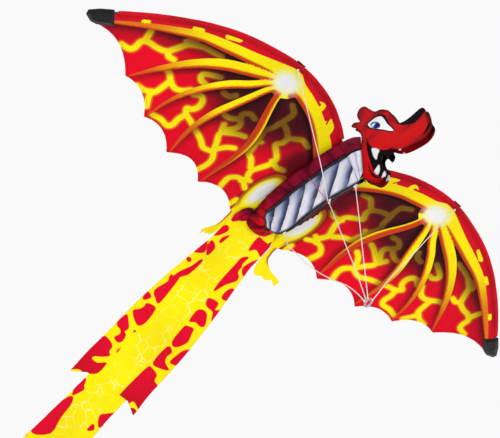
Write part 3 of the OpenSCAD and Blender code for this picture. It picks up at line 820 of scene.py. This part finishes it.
def hood(side, s):
    """The black hood at the tip: two faces that swell over the rod's end."""
    flat, faces = plate(CAP, 1.6)
    deep = -from_shape(CAP, flat, 0)
    puff = 0.6 + 3.4 * ease(deep, 0, 7) + 0.3 * rumple(flat, 7, 4) + ease(deep, 2.2, 0.8) * 0.5
    parts = [(np.column_stack([s * flat[:, 0], flat[:, 1], face * puff]), faces) for face in (-1, 1)]
    cloth = piece(f"{side}_tip_hood", *together(parts), CAP_CLOTH, f"{side}_wing", "cap_cloth",
                  [f"{side}_tip_cap"], thick=PLAIN_THICK)


def patch(side):
    """The round patch that takes the spreader's end."""
    turn = np.linspace(0, 2 * np.pi, 41)[:-1]
    disc = PATCH_AT + PATCH_R * np.column_stack([np.cos(turn), np.sin(turn)])
    flat, faces = plate(disc, 1.8)
    cloth = piece(f"{side}_wrist_patch", on_wing(side, flat, PATCH_LIFT), faces, PATCH_CLOTH,
                  f"{side}_wing", "patch_cloth", [f"{side}_patch"], thick=PLAIN_THICK)


def foot(side, s):
    """A three-toed foot of yellow cloth that trails from the wing's rear corner."""
    flat, faces = plate(FOOT, 1.8)
    x, y = flat.T
    border = from_line(OUTER_LEG, flat)
    fade = 1 - ease(-y, 172, 184)
    tone = mix((252, 232, 10), (222, 132, 16), 0.8 * ease(border, 6.5, 2.5) * fade)
    tone = mix(tone, (128, 62, 10), 0.85 * ease(border, 3.0, 1.2) * fade)
    back = FOOT_TOP - y
    z = float(sail_z(55, -150)) - 0.9 - back * np.sin(FOOT_DROOP)
    z = z + 1.2 * rumple((x, y), 22, 6 + s) * ease(-y, 145, 165)
    y = FOOT_TOP - back * np.cos(FOOT_DROOP) * (0.86 if s > 0 else 1)
    toes = np.maximum(x - TOE_LINE, 0)
    z = z - toes * np.sin(TOE_HANG[side])
    x = x - toes * (1 - np.cos(TOE_HANG[side]))
    far = np.full(len(x), 50.0)
    layers = {"ground": tone, "ink": tone, "mark": tone, "ink_edge": far, "mark_edge": far}
    obj = piece(f"{side}_foot_cloth", np.column_stack([s * x, y, z]), faces, SAIL_PRINT,
                f"{side}_wing", "foot_cloth", [f"{side}_foot"], layers, FOOT_THICK)


for side, s in SIDES.items():
    sail(side, s)
    sleeve(side, s)
    hood(side, s)
    patch(side)
    piece(f"{side}_leg_knot", *ball(np.array(WING_LEGS[side][0]) + (0, 0, -0.6), (2.2, 2.2, 2.0)),
          LINE, f"{side}_wing", "line")
    foot(side, s)


# ---------------------------------------------------------------- middle and keel
# The keel's cross-sections: place, half width at the root, and height of the ridge.
STATIONS = [(-136, 25, 10), (-64, 37, -50), (-10, 41, -52), (42, 41, -58), (84, 41, -70), (112, 40, -80)]
KEEL_END = -136
# The belly's upper and lower seams, in shares of the way from root to ridge.
SIDE_SHARE, BELLY_SHARE = 0.36, 0.985
# The places of the pleats at the belly's upper seam, and how much farther back they lie at the ridge.
PLEATS, PLEAT_WIDTH, PLEAT_SLANT = (-96, -60, -22, 18, 58, 98, 138, 178), 37, 54
# The way the wind swells the right side, how far it does on each side, and the way creases stand out.
OUTWARD, FULL = unit((0.92, 0, -0.38)), {"right": 14, "left": 6}
KEEL_OUT = unit((0.75, 0, -0.66))
CLOSED_Y = -114  # the piping and the ridge's binding end here
RIDGE_FORWARD, RIDGE_EASE = 20, 60
keel_rows = knots(STATIONS, 220)


def seam_v(y):
    """Where side and belly meet; the seam dips to the ridge behind the belly."""
    return SIDE_SHARE + 0.5 * (1 - ease((y + 128) / 44))


def keel_ridge_y(y):
    """The ridge's rear end is drawn forward of the root's."""
    return y + RIDGE_FORWARD * (1 - ease((y - KEEL_END) / RIDGE_EASE))


def swell(y, v, full):
    """How far the wind fills the keel, most just below its root."""
    below = v / 0.12
    return full * ease(y, -172, -60) * (1 - 0.25 * ease(y, 60, 112)) * below * np.exp(1 - below)


def keel_point(rows, v, full):
    """Points of the keel's right side: v is 0 at the root and 1 at the ridge."""
    y, half, ridge = rows.T
    v = np.broadcast_to(np.asarray(v, float), y.shape)[:, None]
    root = np.column_stack([half - 0.6, y, centre_z(y) - 1.4])
    low = np.column_stack([0 * y + 1.2, keel_ridge_y(y), ridge])
    return root * (1 - v) + low * v + swell(y, v[:, 0], full)[:, None] * OUTWARD


def keel_skin(name, side, grid, colours, material, slot, stands_for):
    """A skin over rows of points that are drawn for the right."""
    s = SIDES[side]
    points, faces = grid_of(np.array(grid) * (s, 1, 1))
    obj = piece(name, points, facing(faces, s), material, "airframe", slot, stands_for,
                {"ground": np.vstack(colours)}, KEEL_THICK)


def keel_side(side, s):
    """The maroon side, which creases most at its rear, with painted light and shade on its waves and creases.
    """
    y = keel_rows[:, 0]
    grid, colours = [], []
    for u in np.linspace(0, 1, 20):
        base = keel_point(keel_rows, seam_v(y) * u, FULL[side])
        z = base[:, 2]
        fold = rumple((y + 0.5 * z, z * 0.5), 21, 11 + s, ridged=True)
        wave = rumple((base[:, 1], z * 1.4), 26, 14 + s)
        rear = 1 - ease(y, -125, -20)
        lift = (0.15 + np.sin(np.pi * u)) * (1.6 * wave + (2.2 + 1.6 * rear) * fold)
        grid.append(base + (lift * ease(y, KEEL_END, -124))[:, None] * KEEL_OUT)
        level = np.full(len(y), u)
        # Painted light and shade: lit makes the cloth lighter towards the seam and where its waves rise, over
        # a wider range at the rear.
        lit = ease(level + 0.35 * wave, 0.05, 0.75)
        tone = mix(mix((98, 5, 32), (124, 8, 40), lit), mix((74, 3, 24), (222, 6, 34), lit), rear)
        # Painted shade in the creases and the wave troughs, then a painted highlight on the wave crests.
        tone = mix(tone, (44, 3, 16), 0.55 * fold + 0.3 * ease(-wave, 0.2, 0.6))
        tone = mix(tone, mix((140, 14, 46), (214, 4, 66), rear), 0.45 * ease(wave, 0.25, 0.7))
        # A dark band just above the piping, partly painted shadow; then darker towards the root.
        tone = mix(tone, (22, 5, 14), 0.92 * ease(level, 0.84, 0.94))
        colours.append(mix(tone, (60, 6, 20), 0.5 * ease(level, 0.1, 0.0)))
    keel_skin(f"{side}_keel_side_cloth", side, grid, colours, KEEL_CLOTH, "keel_cloth",
              [f"{side}_keel_side"])


def belly(side, s):
    """The pale pleated cloth below the side, with painted shade behind each pleat and below its upper seam,
    and painted shade over the whole left belly.
    """
    y = keel_rows[:, 0]
    grid, colours = [], []
    for u in np.linspace(0, 1, 44):
        top = seam_v(y)
        base = keel_point(keel_rows, top + (BELLY_SHARE - top) * u, FULL[side])
        place = y + PLEAT_SLANT * u
        ahead = np.array([min(k - q for k in PLEATS if k >= q) for q in place])
        groove = np.exp(-(ahead / 2.2)**2) + np.exp(-((PLEAT_WIDTH - ahead) / 3)**2) * 0.3
        puff = np.sin(np.pi * np.clip(ahead / PLEAT_WIDTH, 0, 1))
        edges = ease(u, 0, 0.12) * ease(1 - u, 0, 0.12)
        lift = 2.6 * (puff - groove) * edges + 0.8 * rumple((y, base[:, 2]), 13, 17 + s)
        grid.append(base + (lift * ease(y, -134, -116))[:, None] * KEEL_OUT)
        level = np.full(len(y), u)
        reach = 32 - 11 * u
        # Painted shade behind each pleat, darkest in its groove, and below the upper seam.
        tone = mix((236, 237, 250), (132, 142, 180), 0.9 * (1 - ease(ahead / reach, 0.1, 1.15)))
        tone = mix(tone, (120, 130, 168), 0.5 * (1 - ease(level, 0.05, 0.45)) * ease(y, 112, 60))
        tone = mix(tone, (40, 48, 78), (1 - ease(ahead / reach, 0.02, 0.62)) * (0.95 - 0.12 * u))
        streak = rumple((place * 0.5, u * 26 + 0 * y), 8, 23 + s)
        tone = mix(tone, (176, 182, 212), 0.35 * ease(streak, 0.1, 0.7))
        # Darker towards the ridge; a dark band at the upper seam, partly the piping's painted shadow.
        tone = mix(tone, (84, 90, 124), 0.6 * ease(level, 0.92, 1.0))
        tone = mix(tone, (30, 28, 46), 0.9 * ease(level, 0.09, 0.04))
        tone = mix(tone, mix((150, 4, 30), (96, 6, 24), u), ease(-y, 112, 116))
        # Painted shade: the left belly is darkened as a whole, on the side away from the light.
        colours.append(tone if s > 0 else mix(tone, (34, 14, 30), 0.8))
    keel_skin(f"{side}_belly_cloth", side, grid, colours, BELLY_CLOTH, "belly_cloth",
              [f"{side}_belly"])


def piping(side, s):
    """The dark cord along the seam between side and belly."""
    y = keel_rows[:, 0]
    seam = (keel_point(keel_rows, seam_v(y), FULL[side]) + KEEL_OUT * 0.4)[y > CLOSED_Y]
    seam = spaced(seam + KEEL_OUT * 0.5 * rumple(seam, 9, 21)[:, None], 2.5)
    piece(f"{side}_piping_cord", *sweep(seam * (s, 1, 1), round_section(1.5, 10)), PIPING,
          "airframe", "piping", [f"{side}_piping"])


def neck(side, s):
    """The cloth that closes the keel's front and runs up to the head's post, with painted shade in its folds.
    """
    grid, colours = [], []
    u = np.linspace(0, 1, 24)
    for v in np.linspace(0, 1, 56):
        base = np.column_stack([
            40 + (9 - 40) * u - v * (1 - u) * 36,
            112.6 + u * 15.9 + v * (1 - u),
            -3 * (1 - v) * (1 - u) - 81 * v * (1 - u) + u * (35 * (1 - v) - 75 * v)])
        base[:, 2] += 7 * np.sin(np.pi * u) * (1 - v)
        base = base + (swell(112, v, FULL[side]) * (1 - u))[:, None] * OUTWARD
        flat = base[:, (0, 2)]
        fold = rumple(flat * (0.5, 1), 20, 31 + s, ridged=True)
        lift = (1.4 * rumple(flat, 22, 33 + s) + 1.2 * fold) * np.sin(np.pi * u) * np.sin(np.pi * v)
        grid.append(base + lift[:, None] * unit((0.3, 0.95, 0)))
        # Painted shade in the creases of the maroon cloth.
        tone = mix((118, 8, 38), (50, 4, 16), 0.5 * fold)
        if v > SIDE_SHARE:
            # Grey-blue painted shade of upright folds on the pale cloth, and painted shade in its creases.
            painted_fold_shade = 0.5 + 0.5 * np.sin(u * 13 + 3 * v)
            tone = mix((226, 228, 242), (112, 120, 156), 0.45 * painted_fold_shade**3 + 0.2 * fold)
        if abs(v - SIDE_SHARE) < 0.03:  # the piping's line
            tone = np.tile((20.0, 10.0, 18.0), (len(u), 1))
        colours.append(mix(tone, (70, 8, 24), 0.4 * ease(u, 0.85, 1.0)))
    keel_skin(f"{side}_neck_cloth", side, grid, colours, KEEL_CLOTH, "keel_cloth", [f"{side}_neck"])


def keel_rear():
    """The cloth that closes the keel's rear end, with painted light and shade."""
    v = np.linspace(0, 1, 16)
    end = np.repeat(keel_rows[:1], len(v), axis=0)
    grid, colours = [], []
    for a in np.linspace(-np.pi / 2, np.pi / 2, 26):
        line = keel_point(end, v, FULL["right" if a > 0 else "left"]) * (np.sin(a), 1, 1)
        line[:, 1] -= (1 + 11 * (1 - v)) * np.cos(a)
        fold = rumple(line[:, (0, 2)] * (2, 0.6), 14, 91, ridged=True)
        puff = np.sin(np.pi * v) * (3.5 + 2.5 * fold) * np.cos(a)
        grid.append(line + puff[:, None] * unit((np.sin(a) * 0.6, -0.5, -0.75)))
        # Painted light and shade: one half lighter than the other, painted shade in the creases, and darker
        # at the root.
        tone = mix(mix((214, 6, 38), (120, 6, 26), ease(np.sin(a), 0.1, 0.9)), (150, 6, 28), 0.6 * v)
        colours.append(mix(mix(tone, (60, 4, 16), 0.5 * fold), (50, 4, 14), 0.8 * (1 - ease(v, 0.02, 0.1))))
    keel_skin("keel_rear_cloth", "right", grid, colours, KEEL_CLOTH, "keel_cloth", ())


def rear_fold():
    """The loose fold of cloth beside the keel's rear end, with painted shade."""
    outline = [(22, -134), (30, -116), (39, -110), (48, -121), (50, -138), (47, -153), (42, -163), (36, -150)]
    flat, faces = plate(knots(outline, 48, ring=True), 1.8)
    x, y = flat.T
    fold = rumple((x + y * 0.4, y * 0.4), 15, 93, ridged=True)
    z = centre_z(y) - 3.6 - 2.4 * fold - 1.2 * rumple((x, y), 14, 95)
    # Painted shade: darker towards its front end and in its creases.
    tone = mix(mix((206, 4, 52), (96, 6, 28), ease(y, -140, -116)), (70, 4, 22), 0.6 * fold)
    obj = piece("keel_rear_fold", np.column_stack([x, y, z]), faces, KEEL_CLOTH, "airframe",
                "keel_cloth", (), {"ground": tone}, KEEL_THICK)


def middle():
    """The panel over the keel, printed as the wings are."""
    half = FOLD_X - 0.3
    outline = [(-half, STERN_Y), (half, STERN_Y), (half, 116), (32, 106), (-32, 106), (-half, 116)]
    flat, faces = plate(outline, 3.0)
    x, y = flat.T
    z = centre_z(y) + 0.8 * rumple((x, y), 24, 41) * ease(FOLD_X - np.abs(x), 0, 12)
    layers = paint_wing(x, y)
    spine = 1 - ease(np.abs(x), 6, 24)
    layers["ground"] = mix(layers["ground"], MAROON, 0.8 * spine)
    rear = ease(-y, 112, 116)
    layers["ground"] = mix(layers["ground"], YELLOW, rear)
    layers["ink_edge"] = np.where(rear > 0.5, 20, layers["ink_edge"])
    obj = piece("middle_cloth", np.column_stack([x, y, z]), faces, SAIL_PRINT, "airframe",
                "sail_print", ["middle_panel"], layers, PLAIN_THICK)


# The bridle's white loops: the place on the ridge where each is sewn on, and its outline below it.
TABS = {"front": (0, 103, -78), "middle": (0, 42, -58), "rear": (0, -64, -50)}
LOOP = [(-0.7, -1), (-0.9, -6), (-1.3, -9.5), (0, -11.2), (1.3, -9.5), (0.9, -6), (0.7, -1)]


def ridge():
    """The dark binding along the keel's lowest edge, and the white loops for the bridle."""
    y, _, low = keel_rows[keel_rows[:, 0] > CLOSED_Y].T
    path = spaced(np.column_stack([0 * y, keel_ridge_y(y), low - 1.4]), 3.0)
    strip = sweep(path, [(-2.6, 1.2), (-2.2, -0.3), (0, -1.0), (2.2, -0.3), (2.6, 1.2), (0, 0.5)],
                  across=(1, 0, 0))
    piece("ridge_binding", *strip, PIPING, "airframe", "piping", ["ridge_tape"])
    for name, (x, y, z) in TABS.items():
        line = knots([(x + across, y, z + down) for across, down in LOOP], 36)
        wide = 1.5 + 3.6 * ease((line[:, 2] - z + 11) / 11, 0.15, 1.0)
        section = [[(-w, -0.3), (w, -0.3), (w, 0.3), (-w, 0.3)] for w in wide]
        knot = ball((x, y, z - 10.5), (1.9, 1.9, 2.6))
        piece(f"{name}_tab_tape", *together([sweep(line, section, across=(0, 1, 0)), knot]), TAPE,
              "airframe", "tab_cloth", [f"{name}_tab"])
    at_ring = [route[-1] for route in (LEFT_LEG, FRONT_LEG, MIDDLE_LEG, REAR_LEG)]
    lumps = [ball(np.array(p) + (0, 0, 0.6), (1.7, 1.7, 3.0)) for p in at_ring]
    lumps.append(ball(MIDDLE_LEG[0], (2.3, 2.1, 2.6)))
    piece("line_knots", *together(lumps), LINE, "airframe", "line")
    piece("tie_knot", *ball(TIE_LINE[-1], (1.6, 1.6, 2.0)), TIE, "airframe", "tie")


middle()
ridge()
keel_rear()
rear_fold()
for side, s in SIDES.items():
    keel_side(side, s)
    belly(side, s)
    piping(side, s)
    neck(side, s)


# ---------------------------------------------------------------- head
HEAD = [(128, 40), (122, 62), (117, 80), (109, 93), (106, 100), (112, 105), (126, 92), (122, 109),
        (121, 126), (129, 136), (140, 129), (150, 108), (161, 87), (172, 80), (182, 69), (192, 53),
        (198, 35), (204, 11), (208, -6), (221, -17), (240, -19), (258, -18), (266, -27), (269, -50),
        (270, -68), (274, -89), (269, -103), (256, -110), (234, -104), (212, -94), (198, -80),
        (186, -63), (188, -80), (181, -88), (173, -68), (166, -71), (168, -92), (175, -112),
        (173, -127), (164, -136), (152, -132), (140, -113), (130, -98), (124, -82), (121, -58),
        (123, -5)]
EYE = [(145, 62), (155, 64), (163, 63), (171, 58), (177, 49), (182, 33), (187, 14), (199, -21),
       (188, -9), (178, 6), (166, 22), (154, 38), (147, 51)]
# The iris: its centre, and where its rearmost and its topmost point lie from there.
IRIS, IRIS_REAR, IRIS_TOP = (161, 40), (-10.6, 12.6), 11.5
GLINT, PUPIL = (156, 46), (166, 35)
MOUTH = [(139, 23), (142, 6), (150, -19), (162, -37), (174, -54), (190, -68), (203, -86), (198, -94),
         (192, -80), (193, -90), (184, -97), (176, -94), (181, -112), (172, -120), (166, -124),
         (159, -118), (153, -106), (149, -93), (145, -68), (140, -31), (138, -1)]
TEETH = [[(148, -25), (152, -23), (165, -43), (161, -54), (157, -66), (151, -50)],
         [(161, -84), (163, -98), (161, -109), (156, -111), (150, -94), (155, -88)],
         [(171, -114), (174, -124), (172, -131), (164, -127)]]
NOSTRIL = [(272, -68), (274, -88), (268, -97), (259, -101), (257, -98), (264, -88), (269, -78)]
SNOUT_TOP = [(206, -2), (221, -13), (240, -15), (258, -14), (271, -26), (268, -35), (261, -42),
             (252, -46), (242, -46), (230, -37), (217, -24)]
LIP = ([(139, -58), (141, -78), (147, -101), (156, -118), (166, -128)], [0.4, 1.4, 1.9, 1.5, 0.5])
# The face's darker places: how dark, where, and how far each reaches.
SHADOWS = [(1.0, 178, 74, 24, 14), (0.9, 111, 99, 16, 14), (0.8, 126, 124, 16, 22),
           (0.6, 198, 30, 10, 26), (0.6, 244, -104, 34, 9), (0.6, 142, 58, 14, 14),
           (0.6, 156, -130, 22, 12), (0.4, 150, 14, 30, 10), (0.8, 236, -42, 24, 12)]
HEAD_X, HEAD_T = 4.5, 1.4


def paint_head(p):
    """The face at points (y, z) of the head's profile."""
    y, z = p.T
    rim = -from_shape(HEAD, p, 4)

    def near(cy, cz, ry, rz):
        return np.exp(-((y - cy) / ry)**2 - ((z - cz) / rz)**2)

    dark = np.clip(sum(share * near(*place) for share, *place in SHADOWS), 0, 1)
    ground = mix((206, 12, 18), (112, 8, 28), dark)
    ground = mix(ground, (222, 22, 24), 0.5 * near(218, -56, 30, 22))
    ground = mix(ground, (96, 6, 16), 0.75 * (1 - ease(rim, 0.5, 5.5)))

    eye = from_shape(EYE, p)
    liner = eye - 2.4 - 2.6 * ease(z - 30 + (y - 160) * 0.9, 0, 30)
    lip = stroke(*LIP, p)[0]
    ink_edge = np.min([from_shape(MOUTH, p, 4), liner, from_shape(NOSTRIL, p, 4),
                       from_shape(SNOUT_TOP, p, 4), lip], axis=0)
    ink = np.tile((14.0, 2.0, 6.0), (len(p), 1))

    teeth = np.min([from_shape(t, p, 3) for t in TEETH] + [np.hypot(y - 206, z + 90) - 3.6], axis=0)
    rearward = (y - IRIS[0]) / IRIS_REAR[0]
    iris = np.hypot(rearward, (z - IRIS[1] - rearward * IRIS_REAR[1]) / IRIS_TOP) * 12.5
    blue = ease(iris, 12.9, 12.1)
    pupil, glint = (np.hypot(y - at[0], z - at[1]) for at in (PUPIL, GLINT))
    tone = mix((246, 248, 250), (28, 84, 176), blue)
    tone = mix(tone, (14, 26, 96), ease(pupil, 9.5, 6.5) * blue)
    tone = mix(tone, (150, 200, 232), 0.6 * ease(glint, 8.0, 4.0) * blue)
    tone = mix(tone, (252, 253, 255), ease(glint, 4.2, 3.2))
    ivory = mix((244, 244, 246), (190, 196, 206), ease(teeth, -2.4, -0.4))
    tone = np.where((teeth < eye)[:, None], ivory, tone)
    return {"ground": ground, "ink": ink, "mark": tone, "ink_edge": ink_edge,
            "mark_edge": np.minimum(eye, teeth)}


def head():
    outline = knots(HEAD, 4 * len(HEAD), ring=True)
    flat, faces = plate(outline, 1.5)
    layers = paint_head(flat)
    rim = from_shape(HEAD, flat, 4)
    bulge = 0.5 * ease(-rim, 0, 20) + 0.35 * rumple(flat, 30, 51)
    for side, s in SIDES.items():
        x = s * (HEAD_X + HEAD_T / 2 + bulge)
        obj = piece(f"{side}_head_face", np.column_stack([x, flat]), facing(faces, s), HEAD_PRINT,
                    "head", "head_print", [f"{side}_head_panel"], layers, HEAD_T)


head()


# ---------------------------------------------------------------- tail
TAIL_L, TAIL_STEP, TAIL_W, TAIL_END, BARB, TAIL_HEM = 402, 20, 48.5, 78, 14, 4.0
TAIL_DROP = [19, 17, 15, 13]
TAIL_FILL = [0.52, 0.3, 0.3]
# The red cells of the first panel: places across and along it, from its front edge. The other
# panels repeat them, every second one turned over.
TAIL_CELLS = [
    [(49, 51), (40, 42), (34, 28), (38, 21), (45, 20), (50, 30)], [(33, 52), (27, 54), (25, 31), (33, 42)],
    [(31, 88), (29, 68), (41, 59), (46, 63), (40, 79)], [(57, 98), (39, 86), (50, 66), (58, 80)],
    [(36, 101), (30, 101), (32, 135), (41, 150), (40, 159), (38, 211), (49, 210), (61, 199), (54, 171),
     (51, 145), (40, 121)],
    [(58, 159), (53, 170), (49, 164), (55, 155)], [(58, 115), (53, 109), (46, 114), (50, 119)],
    [(36, 225), (46, 222), (56, 227), (55, 234), (58, 244), (65, 255), (42, 270), (33, 258)],
    [(67, 208), (56, 213), (64, 227), (70, 216)],
    [(73, 291), (70, 266), (58, 274), (48, 285), (50, 295), (44, 297), (40, 310), (45, 319), (58, 315),
     (54, 303), (60, 296)],
    [(76, 329), (66, 323), (48, 330), (46, 341), (39, 349), (51, 361), (59, 366), (61, 373), (47, 373),
     (34, 362), (33, 388), (45, 399), (56, 404), (67, 404), (84, 414), (84, 379)],
    [(34, 338), (37, 330), (34, 321), (33, 332)], [(37, 286), (39, 282), (36, 278), (34, 282)],
    [(-21, 33), (-32, 22), (-53, 27), (-52, -12), (-26, -7), (-17, 4)],
    [(-28, 134), (-23, 113), (-21, 64), (-21, 50), (-32, 40), (-32, 57), (-35, 65), (-37, 76), (-44, 81),
     (-47, 91), (-36, 110)],
    [(-37, 62), (-44, 40), (-54, 30), (-56, 72), (-45, 74)],
    [(-48, 134), (-45, 120), (-49, 108), (-57, 107), (-62, 130)],
    [(-32, 159), (-29, 149), (-42, 144), (-52, 146), (-55, 159), (-66, 150), (-70, 172), (-64, 180),
     (-54, 165), (-39, 164)],
    [(-31, 206), (-28, 185), (-32, 175), (-45, 172), (-56, 184), (-61, 196), (-54, 201), (-42, 200)],
    [(-32, 255), (-30, 220), (-33, 215), (-48, 211), (-53, 223), (-58, 240), (-47, 261)],
    [(-32, 309), (-32, 267), (-49, 272), (-47, 284), (-53, 296), (-70, 304), (-52, 312)],
    [(-59, 291), (-60, 270), (-63, 257), (-74, 246), (-80, 262), (-76, 286)],
    [(-30, 322), (-40, 319), (-58, 325), (-63, 337), (-80, 345), (-88, 370), (-86, 402), (-59, 393),
     (-54, 410), (-44, 420), (-37, 422), (-29, 418), (-28, 369)],
    [(-63, 410), (-69, 403), (-82, 408), (-84, 420)]]
# The cells that the other panels have in their place near the front edge.
NEXT_CELLS = [
    [(54, 10), (43, 8), (36, 22), (30, 29), (37, 49), (43, 48), (50, 27)],
    [(44, 57), (30, 62), (26, 100), (20, 136), (48, 157), (60, 130)],
    [(-50, 29), (-35, 42), (-28, 49), (-30, 58), (-44, 73), (-54, 51)], [(-29, 71), (-28, 90), (-40, 82)]]


def tail_half(i):
    length = TAIL_L - TAIL_STEP * i
    a, b, c = TAIL_W * (1 - 0.05 * i), TAIL_END * (1 - 0.13 * i), TAIL_W * (1 - 0.05 * (i + 1))
    if i == 3:
        return [(a, 0.4), (a * 1.1, length * 0.3), (a * 0.9, length * 0.62), (a * 0.45, length * 0.86),
                (2, length)]
    return [(a, 0.4), (a + 0.5, length * 0.14), (a + (b - a) * TAIL_FILL[i], length * 0.4),
            (a + (b - a) * (TAIL_FILL[i] + 0.31), length * 0.66), (b, length + BARB), (c + 2, length - 4),
            (c - 3, length - 0.4)]


def paint_tail(p, i):
    """The print of a tail panel at points (across, along)."""
    x, along = p.T
    q = np.column_stack([x * (-1 if i % 2 else 1) / (1 - 0.07 * i), along])
    red = np.min([from_shape(cell, q, 3) for cell in TAIL_CELLS], axis=0)
    if i:
        ahead = np.min([from_shape(cell, p, 3) for cell in NEXT_CELLS], axis=0)
        red = np.where(along < 165, ahead, red)
    yellow = np.tile((254.0, 234.0, 4.0), (len(p), 1))
    ink = np.tile((226.0, 2.0, 44.0), (len(p), 1))
    ink = mix(ink, (184, 8, 28), ease(along, 320, 410) * 0.6)
    band = np.maximum(np.abs(q[:, 0]) - 28, 2.5 - red)
    return {"ground": yellow, "ink": ink, "mark": yellow, "ink_edge": red, "mark_edge": band}


def tail():
    """Four panels of ribbon, each hung on the rear edge of the one before it."""
    start = np.array([STERN_Y - 0.3, centre_z(STERN_Y)])
    for i, drop in enumerate(TAIL_DROP):
        half = np.array(tail_half(i))
        half[0] = (half[0][0] - 0.5, -3.5)
        outline = np.vstack([half, (half * (-1, 1))[::-1]])
        flat, faces = plate(outline, 3.2)
        x, along = flat.T
        length = TAIL_L - TAIL_STEP * i
        free = ease(along, 0, 60) * ease(length - along, -BARB, 50)
        lift = free * (3.2 * np.sin(along / 58 + i * 1.7) + 1.6 * rumple((x, along * 0.4), 42, 71 + i))
        lift = lift + free * 1.2 * rumple((x + along * 0.3, along * 0.2), 26, 81 + i)
        lift = lift + 2.5 * (np.abs(x) / TAIL_W)**2 * ease(along, 30, 160) * free
        angle = np.radians(drop)
        y = start[0] - along * np.cos(angle) - lift * np.sin(angle)
        z = start[1] - along * np.sin(angle) + lift * np.cos(angle)
        rim = from_line(np.vstack([outline, outline[:1]]), flat)
        share = np.where(rim < TAIL_HEM, 1.0, TAIL_SHARE)
        obj = piece(f"tail_{i + 1}_cloth", np.column_stack([x, y, z]), faces, TAIL_PRINT,
                    f"tail_{i + 1}_panel", "tail_print", [f"tail_{i + 1}"], paint_tail(flat, i),
                    HEM_THICK, share)
        start = start - length * np.array([np.cos(angle), np.sin(angle)])


tail()


# ---------------------------------------------------------------- hardware
def finish_parts():
    """The rods, fittings and pins keep their CAD shapes and get their real finishes."""
    looks = {
        ROD: ["spine_rod", "right_edge_rod", "left_edge_rod", "right_spreader", "left_spreader"],
        FITTING: ["hub_bar", "neck_fitting", "spine_cap_front", "spine_cap_rear", "right_connector",
                  "left_connector", "right_hub_arm", "left_hub_arm"],
        STEEL: ["hub_pins", "head_post", "tow_ring"],
        EDGE_CLOTH: ["head_sleeve", "snout_spacer"]}
    for material, names in looks.items():
        for name in names:
            for place in frame["nodes"][name].material_slots:
                place.material = material


finish_parts()
